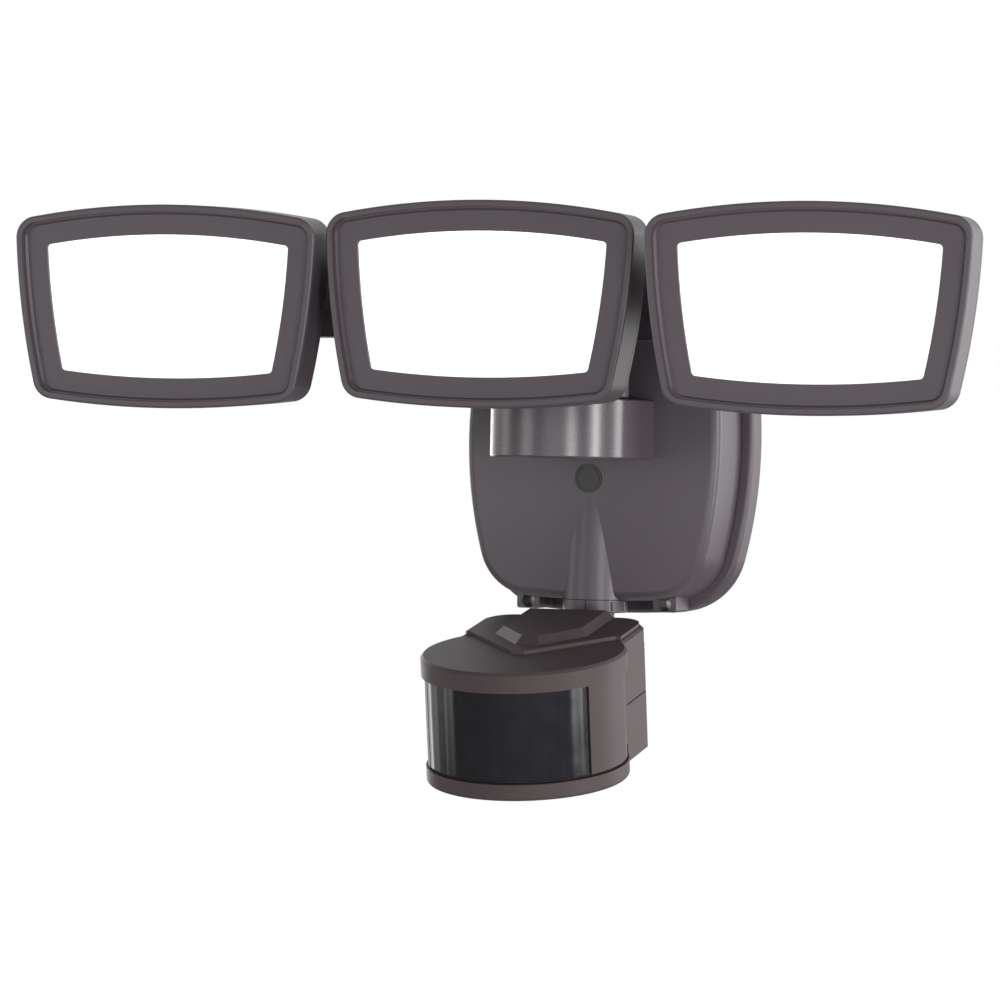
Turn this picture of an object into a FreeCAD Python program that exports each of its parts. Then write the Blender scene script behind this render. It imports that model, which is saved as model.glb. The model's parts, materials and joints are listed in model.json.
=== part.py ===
import FreeCAD, Part
import math
import os

os.makedirs("parts", exist_ok=True)
V = FreeCAD.Vector
X = V(1, 0, 0)
Y = V(0, 1, 0)
Z = V(0, 0, 1)

# Frame: the wall is the plane y = 0, the light faces -Y, +X is to the right and +Z is up.
# The origin lies where the centre bolt crosses the wall. Every length is in millimetres.

# ---- shared clearances ----
RUN = 0.05            # radial clearance of a shaft in its bore
SEAT = 0.05           # flat gap between two pieces that are fastened together
MOVE = 0.3            # flat gap between two pieces that move past each other

# ---- wall box: cover, back plate, gasket ----
COVER_MID_Z = 16.0            # height of the cover's middle above the centre bolt
COVER_CORNER_X = 45.1         # where the bowed sides would meet, before rounding
COVER_CORNER_Z = 64.2
COVER_BOW_SIDE = 10.8         # how far the long sides bow out
COVER_BOW_END = 2.5           # how far the top and bottom bow out
COVER_CORNER_R = 23.5
COVER_DRAFT = 1.2             # the cover's back edge is this much larger all round
COVER_FACE_Y = -45.0          # foremost point of the crowned face
COVER_BACK_Y = -15.5
COVER_CROWN_R = 523.0
COVER_EDGE_R = 4.0
COVER_WALL = 3.0
COVER_END_Z = COVER_CORNER_Z + COVER_BOW_END     # from the cover's middle to its bowed end
COVER_LOW_Z = COVER_MID_Z - COVER_END_Z
PLATE_GROW = 6.2              # the back plate stands out this far round the cover
PLATE_BACK_Y = -2.0
PLATE_DEPTH = 12.0
PLATE_FRONT_Y = PLATE_BACK_Y - PLATE_DEPTH
PLATE_FLOOR = 3.0
PLATE_EDGE_R = 2.0
LIP_IN = 3.0                  # inner edge of the plate's rim, inside the cover's outline
GASKET_IN = 3.0
GASKET_STEP = 1.2             # the gasket ends this far inside the plate's outline
BOLT_R = 2.5
BOLT_HEAD_R = 4.6
BOLT_BOSS_R = 8.5
PLUG_R = 5.3
PLUG_DEPTH = 7.0
PLUG_RING_R = 6.1
LUG_X = 30.5
LUG_WIDTH = 10.0
LUG_FRONT_Y = -32.0
LUG_OUT = 4.8                 # the lug stands out this far from the cover's end
LUG_HEIGHT = 8.5
COVER_SCREW_R = 1.6
COVER_SCREW_HEAD_R = 2.7
COVER_SCREW_OUT = 1.6         # screw axis outside the cover's end
STRAP_LENGTH = 100.0
STRAP_WIDTH = 20.0
STRAP_THICK = 1.6
STRAP_SLOT_SPACING = 83.3
STRAP_SLOT_LENGTH = 10.0
STRAP_SLOT_R = 2.4
ENTRY_Z = 37.0                # supply entry through the back plate
ENTRY_R = 9.0
STANDOFF = 6.0                # back plate's floor to the driver board
BOARD_THICK = 1.6

# ---- arm block and turret ----
TURRET_OUT = 36.0             # turret axis in front of the cover's face
TURRET_Y = COVER_FACE_Y - TURRET_OUT
TURRET_R = 28.2
BLOCK_LOW_Z = 8.2
BLOCK_HEIGHT = 24.6
BLOCK_TOP_Z = BLOCK_LOW_Z + BLOCK_HEIGHT
BLOCK_EDGE_R = 1.0
PASSAGE_R = 5.0
PASSAGE_Z = BLOCK_LOW_Z + BLOCK_HEIGHT / 2
ARM_SCREW_X = 18.0
ARM_SCREW_R = 2.0
ARM_SCREW_HEAD_R = 3.8
TURRET_GAP = 0.5
STEM_R = 8.0
STEM_BORE_R = 4.5
STEM_END = 1.2                # stem ends this far above the block's underside
STEM_LOW_Z = BLOCK_LOW_Z + STEM_END
NUT_POCKET_R = 12.5
NUT_POCKET = 6.8
NUT_POCKET_TOP_Z = BLOCK_LOW_Z + NUT_POCKET
NUT_HEIGHT = 4.6
NUT_FLATS = 19.0

# ---- crossbar ----
DRUM_HEIGHT = 23.2            # turret drum under the bar
BAR_STEP_HEIGHT = 11.5        # narrower lower part of the bar
BAR_HEIGHT = 20.7             # upper part of the bar
DRUM_LOW_Z = BLOCK_TOP_Z + TURRET_GAP
BAR_LOW_Z = DRUM_LOW_Z + DRUM_HEIGHT
BAR_STEP_Z = BAR_LOW_Z + BAR_STEP_HEIGHT
BAR_TOP_Z = BAR_STEP_Z + BAR_HEIGHT
BAR_FORWARD = 14.0            # front of the bar in front of the turret axis
BAR_DEPTH = 27.0
BAR_FRONT_Y = TURRET_Y - BAR_FORWARD
BAR_BACK_Y = BAR_FRONT_Y + BAR_DEPTH
BAR_END = 14.7                # bar beyond the outer swivel axes
BAR_SWEEP = 9.2               # how far the ends come forward of the middle
BAR_STEP_IN = 3.0
BAR_EDGE_R = 2.5
BAR_END_R = 11.0
BAR_WALL = 3.0
CHANNEL_FRONT = 7.0           # wall in front of the wire channel, thick for the forks

# ---- lamp head ----
OPEN_TOP_X = 51.5             # lens opening, before its sides bow
OPEN_LOW_X = 44.8
OPEN_HALF_Z = 25.1
OPEN_BOW_TOP = 4.3
OPEN_BOW_LOW = 2.7
OPEN_BOW_SIDE = 1.06
OPEN_CORNER_R = 1.6
EAR_REACH = 14.0              # tilt axis to the back of the housing
TAPER_LENGTH = 31.0
FLANGE_THICK = 2.5
SKIRT_DEPTH = 17.0            # depth of the bezel
FRAME_DROP = 3.5              # recess of the flat frame behind the rim
TAPER_END_Y = -EAR_REACH
TAPER_START_Y = TAPER_END_Y - TAPER_LENGTH
SKIRT_BACK_Y = TAPER_START_Y - FLANGE_THICK
RIM_Y = SKIRT_BACK_Y - SKIRT_DEPTH
FRAME_Y = RIM_Y + FRAME_DROP
FRAME_THICK = 1.5
RIM_GROW = 11.9               # bezel outline outside the lens opening
RIM_WIDTH = 2.5
RIM_CORNER_R = 8.5
LENS_GROW = 2.5
LENS_THICK = 2.9
SEAL_THICK = 1.4
SPIGOT_GROW = 9.1
TAPER_END_GROW = -1.5
FIN_DEPTH = 8.0
BACK_WALL = 4.0               # wall between the cavity and the fin slots
CAVITY_END_Y = TAPER_END_Y - FIN_DEPTH - BACK_WALL
FIN_THICK = 2.4
FIN_PITCH = 6.6
FIN_FIRST_X = 18.0
BEZEL_SCREW_GROW = 5.8
BEZEL_SCREW_TOP_X = 38.0
BEZEL_SCREW_LOW_X = 33.0
BEZEL_SCREW_R = 1.4
BEZEL_SCREW_HEAD_R = 2.7
LED_COLUMNS = 8
LED_ROWS = 3
LED_SIZE = 3.5
LED_PITCH_X = 9.2
LED_PITCH_Z = 11.0
LED_BOARD_THICK = 1.6
BEZEL_SEAT = 1.5              # screw seat in front of the flange

# ---- lamp head fork, knuckle and ears ----
HEAD_GAP = 6.5                # between the rims of neighbouring heads
HEAD_SPACING = 2 * (OPEN_TOP_X + RIM_GROW) + HEAD_GAP
BAR_HALF = HEAD_SPACING + BAR_END
HEAD_PIVOT_Z = BAR_LOW_Z + 10.3
MID_SWIVEL_Y = BAR_FRONT_Y - 13.0
SIDE_SWIVEL_Y = BAR_FRONT_Y - 20.5
SWIVEL_BACK = 11.4            # swivel axis behind the tilt axis
BARREL_R = 8.0
BARREL_HALF = 11.0            # half the height of the swivel barrel
KNUCKLE_HALF = 9.0            # half the width of the tilt barrel
EAR_THICK = 5.0
EAR_R = 8.5
FORK_CLEAR_R = 15.4           # room swept by the head's ears behind the swivel axis
JOINT_BOLT_R = 2.5
JOINT_HEAD_R = 4.6
JOINT_HEAD = 3.4

# rest angles of the three heads, as in the reference view: turn to +X, then tilt down
HEADS = {
    "left": {"x": -HEAD_SPACING, "y": SIDE_SWIVEL_Y, "turn": 3.7, "tilt": 2.2},
    "middle": {"x": 0.0, "y": MID_SWIVEL_Y, "turn": 1.9, "tilt": 0.1},
    "right": {"x": HEAD_SPACING, "y": SIDE_SWIVEL_Y, "turn": 3.8, "tilt": 1.0},
}

# ---- motion sensor, in its own frame: origin on the drum axis at the cap's lower edge ----
SENSOR_TILT = 10.6            # rest tilt, face down
SENSOR_TURN = 2.0             # rest turn to +X
SENSOR_REACH = 91.4           # drum axis in front of the swivel axis
SENSOR_Z = COVER_LOW_Z - 26.6
COLLAR_IN = 12.0              # swivel axis behind the cover's face
COLLAR_Y = COVER_FACE_Y + COLLAR_IN
COLLAR_R = 13.6
COLLAR_TOP_GAP = 0.25
COLLAR_HEIGHT = 5.25
COLLAR_LOW_Z = COVER_LOW_Z - COLLAR_TOP_GAP - COLLAR_HEIGHT
SPINDLE_R = 5.0
SPINDLE_BORE_R = 2.8
SPINDLE_NUT_R = 7.4
SPINDLE_NUT_FLATS = 12.0
SPINDLE_SEAT = 4.5            # cover's underside to the nut's seat
SPINDLE_TOP_Z = COVER_LOW_Z + 13.2
DRUM_R = 40.2
DRUM_WALL = 2.5
DRUM_FLOOR_Z = -36.2
WINDOW_SPAN = 56.0            # half the angle the window covers
WINDOW_SLIT = 1.3
WINDOW_THICK = 1.5
RING_OUT = 0.8                # bottom ring outside the drum
RING_R = DRUM_R + RING_OUT
RING_HEIGHT = 6.8
RING_TOP_Z = DRUM_FLOOR_Z - 0.8
RING_LOW_Z = RING_TOP_Z - RING_HEIGHT
BOX_X = 33.0                  # squared part behind the drum
BOX_FRONT_Y = 30.0
BOX_REAR_Y = 60.0
CAP_OUT = 1.3                 # cap outside the drum
CAP_R = DRUM_R + CAP_OUT
CAP_RIM = 8.1
CAP_REAR_Y = BOX_REAR_Y + 1.0
CAP_REAR_X = BOX_X + 2.0
CAP_REAR_R = 13.0
CAP_STEP = 1.5
CAP_EDGE = 1.1
CAP_RIDGE = 3.0
AXIS_BACK = 14.5              # tilt axis behind the squared part
AXIS_Y = BOX_REAR_Y + AXIS_BACK
AXIS_Z = -6.5
SENSOR_EAR_IN = 6.3
SENSOR_EAR_THICK = 5.0
KNOB_R = 5.8
KNOB_X = 13.0
KNOB_Y = 4.0
KNOB_POCKET = 4.0
KNOB_SHAFT_R = 2.0


# ---------------------------------------------------------------- general shapes

def box(x0, x1, y0, y1, z0, z1):
    return Part.makeBox(x1 - x0, y1 - y0, z1 - z0, V(x0, y0, z0))


def rod(radius, start, direction, length):
    return Part.makeCylinder(radius, length, start, direction)


def tube(outer, inner, start, direction, length):
    return rod(outer, start, direction, length).cut(rod(inner, start, direction, length))


def plate_xy(points, z0, z1):
    """A flat piece with straight sides, drawn in plan."""
    corners = [V(x, y, z0) for x, y in points]
    return Part.Face(Part.makePolygon(corners + corners[:1])).extrude(V(0, 0, z1 - z0))


def plate_yz(points, x0, x1):
    """A flat piece with straight sides, drawn from the side."""
    corners = [V(x0, y, z) for y, z in points]
    return Part.Face(Part.makePolygon(corners + corners[:1])).extrude(V(x1 - x0, 0, 0))


def hex_bar(flats, start, direction, length):
    """A hexagonal bar, for nuts and bolt heads."""
    radius = flats / math.sqrt(3.0)
    wire = Part.makePolygon([V(radius * math.cos(math.radians(a)), radius * math.sin(math.radians(a)), 0)
                             for a in range(0, 361, 60)])
    bar = Part.Face(wire).extrude(V(0, 0, length))
    bar.Placement = FreeCAD.Placement(start, FreeCAD.Rotation(Z, direction))
    return bar


def side_edges(solid, direction):
    """The straight edges of a solid that run along one direction."""
    found = []
    for edge in solid.Edges:
        if len(edge.Vertexes) == 2:
            along = edge.Vertexes[1].Point - edge.Vertexes[0].Point
            if abs(abs(along.normalize().dot(direction)) - 1.0) < 1e-6:
                found.append(edge)
    return found


def rim_edges(solid, direction, level):
    """The edges of a solid that lie in the plane at one level along a direction."""
    found = []
    for edge in solid.Edges:
        span = edge.BoundBox
        low = V(span.XMin, span.YMin, span.ZMin).dot(direction)
        high = V(span.XMax, span.YMax, span.ZMax).dot(direction)
        if abs(low - level) < 0.01 and abs(high - level) < 0.01:
            found.append(edge)
    return found


def bowed_wire(corners, bows, grow, radius, y):
    """A closed outline in the plane y: four bowed sides, offset by grow, with rounded corners."""
    points = [V(x, y, z) for x, z in corners]
    middle = (points[0] + points[1] + points[2] + points[3]) * 0.25
    sides = []
    for i in range(4):
        start = points[i]
        end = points[(i + 1) % 4]
        half = (start + end) * 0.5
        along = (end - start).normalize()
        outward = half - middle
        outward = (outward - along * outward.dot(along)).normalize()
        sides.append(Part.Arc(start, half + outward * bows[i], end).toShape())
    face = Part.Face(Part.Wire(sides))
    if grow:
        face = face.makeOffset2D(grow, join=2)
    solid = face.extrude(Y)
    solid = solid.makeFillet(radius, side_edges(solid, Y))
    front = [f for f in solid.Faces if abs(f.BoundBox.YMax - y) < 1e-4 and abs(f.BoundBox.YMin - y) < 1e-4]
    return front[0].OuterWire


def prism(wire, depth):
    return Part.Face(wire).extrude(V(0, depth, 0))


def loft(first, second):
    return Part.makeLoft([first, second], True, True)


# ---------------------------------------------------------------- wall box

def cover_wire(grow, y, radius=COVER_CORNER_R):
    x = COVER_CORNER_X
    high = COVER_MID_Z + COVER_CORNER_Z
    low = COVER_MID_Z - COVER_CORNER_Z
    corners = [(-x, high), (x, high), (x, low), (-x, low)]
    bows = [COVER_BOW_END, COVER_BOW_SIDE, COVER_BOW_END, COVER_BOW_SIDE]
    return bowed_wire(corners, bows, grow, radius, y)


def crown(inset):
    """The ball whose surface is the cover's crowned face, moved inward by inset."""
    centre = V(0, COVER_FACE_Y + COVER_CROWN_R, COVER_MID_Z)
    return Part.makeSphere(COVER_CROWN_R - inset, centre)


def crown_edges(solid):
    """The edges where the crowned face meets the sides."""
    ball = [f for f in solid.Faces if isinstance(f.Surface, Part.Sphere)]
    return [e for f in ball for e in f.Edges]


def sensor_rib():
    """The half cone on the cover's lower face that runs into the sensor's collar."""
    low = COVER_LOW_Z
    reach = 44.0
    top_r = 11.6
    cone = Part.makeCone(COLLAR_R, top_r, reach, V(0, COLLAR_Y, low), Z)
    return cone.cut(box(-20, 20, COLLAR_Y, 0, low - 1, low + reach + 1))


def cover_lug(side, up):
    """A screw lug standing out of the cover's top or bottom edge."""
    reach = COVER_END_Z + LUG_OUT
    inner = reach - LUG_HEIGHT
    z0 = COVER_MID_Z + inner if up else COVER_MID_Z - reach
    z1 = COVER_MID_Z + reach if up else COVER_MID_Z - inner
    x = side * LUG_X
    lug = box(x - LUG_WIDTH / 2, x + LUG_WIDTH / 2, LUG_FRONT_Y, COVER_BACK_Y, z0, z1)
    outside = z1 if up else z0
    edges = [e for e in side_edges(lug, Y) if abs(e.BoundBox.ZMin - outside) < 0.01]
    return lug.makeFillet(1.2, edges)


def cover_screw_points():
    points = []
    for up in (1, -1):
        for side in (-1, 1):
            points.append((side * LUG_X, COVER_MID_Z + up * (COVER_END_Z + COVER_SCREW_OUT)))
    return points


def make_front_cover():
    """The crowned front cover: a cast shell with the rib, lugs and bosses of the fixture."""
    solid = loft(cover_wire(0, COVER_FACE_Y - 1), cover_wire(COVER_DRAFT, COVER_BACK_Y))
    solid = solid.common(crown(0))
    solid = solid.makeFillet(COVER_EDGE_R, crown_edges(solid))
    solid = solid.fuse(sensor_rib())
    inner_back = cover_wire(COVER_DRAFT - COVER_WALL, COVER_BACK_Y + 0.1)
    hollow = loft(cover_wire(-COVER_WALL, COVER_FACE_Y - 1), inner_back)
    hollow = hollow.common(crown(COVER_WALL))
    solid = solid.cut(hollow)
    for side in (-1, 1):
        for up in (True, False):
            solid = solid.fuse(cover_lug(side, up))
    boss_end = PLATE_BACK_Y - PLATE_FLOOR - SEAT
    solid = solid.fuse(rod(BOLT_BOSS_R, V(0, COVER_FACE_Y + 1.5, 0), Y, boss_end - COVER_FACE_Y - 1.5))
    for x in (-ARM_SCREW_X, ARM_SCREW_X):
        solid = solid.fuse(rod(5.5, V(x, COVER_FACE_Y + 2, PASSAGE_Z), Y, 4.5))
    solid = solid.fuse(rod(9.5, V(0, COLLAR_Y, COVER_LOW_Z + 0.5), Z, SPINDLE_SEAT - 0.5))
    return cover_holes(solid).removeSplitter()


def cover_holes(solid):
    """Bores for the bolt and plug, the wire passage, the arm screws, the spindle and the lug screws."""
    solid = solid.cut(rod(BOLT_R + 0.4, V(0, -60, 0), Y, 80))
    plug_floor = COVER_FACE_Y + PLUG_DEPTH + BOLT_HEAD_R
    solid = solid.cut(rod(PLUG_R + SEAT, V(0, -60, 0), Y, plug_floor + 60))
    solid = solid.cut(rod(PLUG_RING_R, V(0, -60, 0), Y, COVER_FACE_Y + 0.8 + 60))
    solid = solid.cut(rod(PASSAGE_R, V(0, -60, PASSAGE_Z), Y, 25))
    for x in (-ARM_SCREW_X, ARM_SCREW_X):
        solid = solid.cut(rod(ARM_SCREW_R + 0.2, V(x, -60, PASSAGE_Z), Y, 30))
    solid = solid.cut(rod(SPINDLE_R + RUN, V(0, COLLAR_Y, COVER_LOW_Z - 5), Z, 20))
    solid = solid.cut(rod(SPINDLE_NUT_R + 0.6, V(0, COLLAR_Y, COVER_LOW_Z + SPINDLE_SEAT), Z, 12))
    solid = solid.cut(rod(COLLAR_R + 0.4, V(0, COLLAR_Y, COVER_LOW_Z - 4), Z, 4))
    for x, z in cover_screw_points():
        solid = solid.cut(rod(COVER_SCREW_R + 0.2, V(x, -60, z), Y, 60))
        solid = solid.cut(rod(COVER_SCREW_HEAD_R + 0.1, V(x, -60, z), Y, 60 - 20.0))
    return solid


def make_back_plate():
    """The cast pan against the wall, with standoffs for the board and the supply entry."""
    solid = prism(cover_wire(PLATE_GROW, PLATE_FRONT_Y, COVER_CORNER_R + PLATE_GROW), PLATE_DEPTH)
    solid = solid.makeFillet(PLATE_EDGE_R, rim_edges(solid, Y, PLATE_FRONT_Y))
    solid = solid.makeFillet(0.8, rim_edges(solid, Y, PLATE_BACK_Y))
    pan_depth = PLATE_BACK_Y - PLATE_FLOOR - PLATE_FRONT_Y
    solid = solid.cut(prism(cover_wire(-LIP_IN, PLATE_FRONT_Y, COVER_CORNER_R - LIP_IN), pan_depth))
    floor = PLATE_BACK_Y - PLATE_FLOOR
    for x, z in board_posts():
        solid = solid.fuse(rod(3.2, V(x, floor + 0.5, z), -Y, STANDOFF + 0.5))
    solid = solid.fuse(tube(ENTRY_R + 5.0, ENTRY_R + 1.5, V(0, floor + 0.5, ENTRY_Z), -Y, 3.5))
    solid = solid.cut(rod(BOLT_R + 0.4, V(0, -40, 0), Y, 60))
    solid = solid.cut(rod(ENTRY_R, V(0, -40, ENTRY_Z), Y, 60))
    for x, z in cover_screw_points():
        solid = solid.cut(rod(COVER_SCREW_R + RUN, V(x, PLATE_FRONT_Y - 1, z), Y, 9.0))
    return solid.removeSplitter()


def board_posts():
    return [(-31, -37), (31, -37), (-31, -14), (31, -14)]


def make_wall_gasket():
    outer = PLATE_GROW - GASKET_STEP
    ring = prism(cover_wire(outer, PLATE_BACK_Y + SEAT, COVER_CORNER_R + outer), -PLATE_BACK_Y - SEAT)
    inner = prism(cover_wire(-GASKET_IN, PLATE_BACK_Y, COVER_CORNER_R - GASKET_IN), -PLATE_BACK_Y)
    return ring.cut(inner)


def make_cover_seal():
    """The rubber ring in the dark groove between cover and back plate."""
    depth = PLATE_FRONT_Y - COVER_BACK_Y - 2 * SEAT
    ring = prism(cover_wire(-0.5, COVER_BACK_Y + SEAT), depth)
    inner = prism(cover_wire(-LIP_IN + 0.6, COVER_BACK_Y, COVER_CORNER_R - LIP_IN), 3)
    ring = ring.cut(inner)
    return ring


def make_cover_screws():
    """Four equal pan-head screws through the lugs into the back plate."""
    screws = []
    for x, z in cover_screw_points():
        head = rod(COVER_SCREW_HEAD_R, V(x, -22.3, z), Y, 2.2)
        head = head.cut(box(x - 2.0, x + 2.0, -22.5, -21.4, z - 0.4, z + 0.4))
        screws.append(head.fuse(rod(COVER_SCREW_R, V(x, -20.2, z), Y, 13.6)))
    return screws


def make_centre_plug():
    """The round rubber plug over the centre bolt, with a thin lip round it."""
    stem = rod(PLUG_R, V(0, COVER_FACE_Y + 0.1, 0), Y, PLUG_DEPTH)
    lip = rod(PLUG_RING_R - 0.15, V(0, COVER_FACE_Y + 0.1, 0), Y, 0.65)
    plug = stem.fuse(lip).removeSplitter()
    groove = tube(PLUG_R - 0.1, PLUG_R - 0.55, V(0, COVER_FACE_Y, 0), Y, 0.4)
    return plug.cut(groove)


def make_mounting_bolt():
    head_front = COVER_FACE_Y + PLUG_DEPTH + 0.3
    head = rod(BOLT_HEAD_R, V(0, head_front, 0), Y, BOLT_HEAD_R - 0.35)
    head = head.cut(hex_bar(4.0, V(0, head_front - 0.1, 0), Y, 2.4))
    shank = rod(BOLT_R, V(0, head_front + 3, 0), Y, -head_front - 3.2)
    return head.fuse(shank).removeSplitter()


def make_mounting_strap():
    """The steel strap screwed across the wall outlet; the centre bolt threads into it."""
    y0 = -STRAP_THICK - 0.2
    strap = box(-STRAP_LENGTH / 2, STRAP_LENGTH / 2, y0, -0.2, -STRAP_WIDTH / 2, STRAP_WIDTH / 2)
    strap = strap.makeFillet(4.0, side_edges(strap, Y))
    half = (STRAP_SLOT_LENGTH - 2 * STRAP_SLOT_R) / 2
    for side in (-1, 1):
        x = side * STRAP_SLOT_SPACING / 2
        slot = box(x - half, x + half, -5, 5, -STRAP_SLOT_R, STRAP_SLOT_R)
        for end in (x - half, x + half):
            slot = slot.fuse(rod(STRAP_SLOT_R, V(end, -5, 0), Y, 10))
        strap = strap.cut(slot)
    return strap.cut(rod(BOLT_R + RUN, V(0, -5, 0), Y, 10))


def make_wire_grommet():
    """The rubber bushing that seals the supply entry."""
    floor = PLATE_BACK_Y - PLATE_FLOOR
    sleeve = rod(ENTRY_R - RUN, V(0, floor - 1.5, ENTRY_Z), Y, 4.3)
    flange = rod(ENTRY_R + 1.3, V(0, floor - 2.0, ENTRY_Z), Y, 2.0 - SEAT)
    body = sleeve.fuse(flange)
    dome = Part.makeCone(ENTRY_R, 5.0, 4.0, V(0, floor - 2.0, ENTRY_Z), -Y)
    return body.fuse(dome).cut(rod(3.0, V(0, -40, ENTRY_Z), Y, 60)).removeSplitter()


def make_terminal_block():
    """The three-way screw terminal beside the supply entry."""
    floor = PLATE_BACK_Y - PLATE_FLOOR - SEAT
    body = box(-16.5, 16.5, floor - 12, floor, 58, 72)
    for x in (-11.0, 0.0, 11.0):
        body = body.fuse(box(x - 4.3, x + 4.3, floor - 15, floor - 11, 61, 69))
        body = body.cut(rod(2.4, V(x, floor - 16, 65), Y, 9))
        body = body.cut(rod(2.2, V(x, floor - 6, 55), Z, 20))
    return body.removeSplitter()


def make_driver_board():
    floor = PLATE_BACK_Y - PLATE_FLOOR - STANDOFF - SEAT
    board = box(-36, 36, floor - BOARD_THICK, floor, -42, -10)
    board = board.makeFillet(3.0, side_edges(board, Y))
    return board


def make_driver_parts():
    """The lamp driver's larger components: transformer, relay, capacitors and heat spreader."""
    top = PLATE_BACK_Y - PLATE_FLOOR - STANDOFF - BOARD_THICK - 2 * SEAT
    parts = [box(-28, -10, top - 13, top, -36, -19)]
    parts.append(box(12, 27, top - 11, top, -38, -26))
    for x, z, r, h in ((-1, -32, 4.5, 14), (3, -18, 3.4, 11), (22, -18, 3.4, 11)):
        parts.append(rod(r, V(x, top, z), -Y, h))
    return parts


# ---------------------------------------------------------------- arm block

def make_arm_block():
    """The D-shaped block that carries the turret, shaped to the cover's crown at its root."""
    sides = box(-TURRET_R, TURRET_R, TURRET_Y, COVER_FACE_Y + 5, BLOCK_LOW_Z, BLOCK_TOP_Z)
    nose = rod(TURRET_R, V(0, TURRET_Y, BLOCK_LOW_Z), Z, BLOCK_TOP_Z - BLOCK_LOW_Z)
    solid = sides.fuse(nose).removeSplitter()
    edges = rim_edges(solid, Z, BLOCK_LOW_Z) + rim_edges(solid, Z, BLOCK_TOP_Z)
    edges = [e for e in edges if e.BoundBox.YMin < COVER_FACE_Y - 1]
    solid = solid.makeFillet(BLOCK_EDGE_R, edges)
    solid = solid.cut(crown(-SEAT))
    solid = solid.cut(rod(STEM_R + RUN, V(0, TURRET_Y, 0), Z, 50))
    solid = solid.cut(rod(NUT_POCKET_R, V(0, TURRET_Y, 0), Z, NUT_POCKET_TOP_Z))
    solid = solid.cut(rod(PASSAGE_R, V(0, TURRET_Y, PASSAGE_Z), Y, 50))
    for x in (-ARM_SCREW_X, ARM_SCREW_X):
        solid = solid.cut(rod(ARM_SCREW_R + RUN, V(x, COVER_FACE_Y - 14, PASSAGE_Z), Y, 30))
    return solid


def make_arm_screws():
    """Two screws from inside the cover into the arm block."""
    screws = []
    for x in (-ARM_SCREW_X, ARM_SCREW_X):
        seat_y = COVER_FACE_Y + 6.5 + SEAT
        head = rod(ARM_SCREW_HEAD_R, V(x, seat_y, PASSAGE_Z), Y, 2.8)
        head = head.cut(hex_bar(3.0, V(x, seat_y + 1.2, PASSAGE_Z), Y, 3))
        shank = rod(ARM_SCREW_R, V(x, COVER_FACE_Y - 12, PASSAGE_Z), Y, seat_y + 1 - COVER_FACE_Y + 12)
        screws.append(head.fuse(shank).removeSplitter())
    return screws


# ---------------------------------------------------------------- crossbar

def bar_wire(inset, z):
    """Plan outline of the bar: a shallow bow with its ends forward, rounded at the corners."""
    half = BAR_HALF - inset
    front = BAR_FRONT_Y + inset
    back = BAR_BACK_Y - inset
    a = V(-half, front - BAR_SWEEP, z)
    b = V(half, front - BAR_SWEEP, z)
    c = V(half, back - BAR_SWEEP, z)
    d = V(-half, back - BAR_SWEEP, z)
    edges = [Part.Arc(a, V(0, front, z), b).toShape(), Part.LineSegment(b, c).toShape()]
    edges += [Part.Arc(c, V(0, back, z), d).toShape(), Part.LineSegment(d, a).toShape()]
    return Part.Wire(edges)


def bar_layer(inset, z0, z1, corner_r):
    solid = Part.Face(bar_wire(inset, z0)).extrude(V(0, 0, z1 - z0))
    return solid.makeFillet(corner_r, side_edges(solid, Z))


def make_crossbar():
    """The cast bar with its turret drum, hollow stem and three forks."""
    upper = bar_layer(0, BAR_STEP_Z, BAR_TOP_Z, BAR_END_R)
    upper = upper.makeFillet(BAR_EDGE_R, rim_edges(upper, Z, BAR_TOP_Z))
    lower = bar_layer(BAR_STEP_IN, BAR_LOW_Z, BAR_STEP_Z + 0.5, BAR_END_R - BAR_STEP_IN)
    solid = upper.fuse(lower)
    drum = rod(TURRET_R, V(0, TURRET_Y, DRUM_LOW_Z), Z, BAR_STEP_Z - DRUM_LOW_Z)
    drum = drum.makeFillet(1.0, rim_edges(drum, Z, DRUM_LOW_Z))
    solid = solid.fuse(drum)
    for head in HEADS.values():
        solid = solid.fuse(fork_body(head))
    solid = bar_hollow(solid)
    solid = solid.fuse(rod(STEM_R, V(0, TURRET_Y, STEM_LOW_Z), Z, BAR_STEP_Z - 4 - STEM_LOW_Z))
    solid = solid.cut(rod(STEM_BORE_R, V(0, TURRET_Y, 0), Z, BAR_STEP_Z + 1))
    solid = solid.cut(box(-4.2, 4.2, TURRET_Y, TURRET_Y + 10, PASSAGE_Z - 5, PASSAGE_Z + 5))
    for head in HEADS.values():
        solid = fork_cut(solid, head)
    return solid.removeSplitter()


def fork_body(head):
    """Two ears round the swivel axis, joined to the bar by a web."""
    x, y = head["x"], head["y"]
    lower = HEAD_PIVOT_Z - BARREL_HALF - MOVE - EAR_THICK
    upper = HEAD_PIVOT_Z + BARREL_HALF + MOVE + EAR_THICK
    back = y + 28.0
    body = box(x - EAR_R, x + EAR_R, y, back, lower, upper)
    body = body.fuse(rod(EAR_R, V(x, y, lower), Z, upper - lower))
    corners = [(x - EAR_R, y + 12), (x + EAR_R, y + 12), (x + 15, back), (x - 15, back)]
    web = plate_xy(corners, lower, BAR_LOW_Z + 1)
    return body.fuse(web)


def fork_cut(solid, head):
    """Room between the ears for the knuckle, and the bolt hole through them."""
    x, y = head["x"], head["y"]
    half = BARREL_HALF + MOVE
    low = HEAD_PIVOT_Z - half
    solid = solid.cut(rod(FORK_CLEAR_R, V(x, y, low), Z, 2 * half))
    solid = solid.cut(box(x - FORK_CLEAR_R, x + FORK_CLEAR_R, y - 20, y, low, low + 2 * half))
    return solid.cut(rod(JOINT_BOLT_R + RUN, V(x, y, HEAD_PIVOT_Z - 30), Z, 60))


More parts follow.
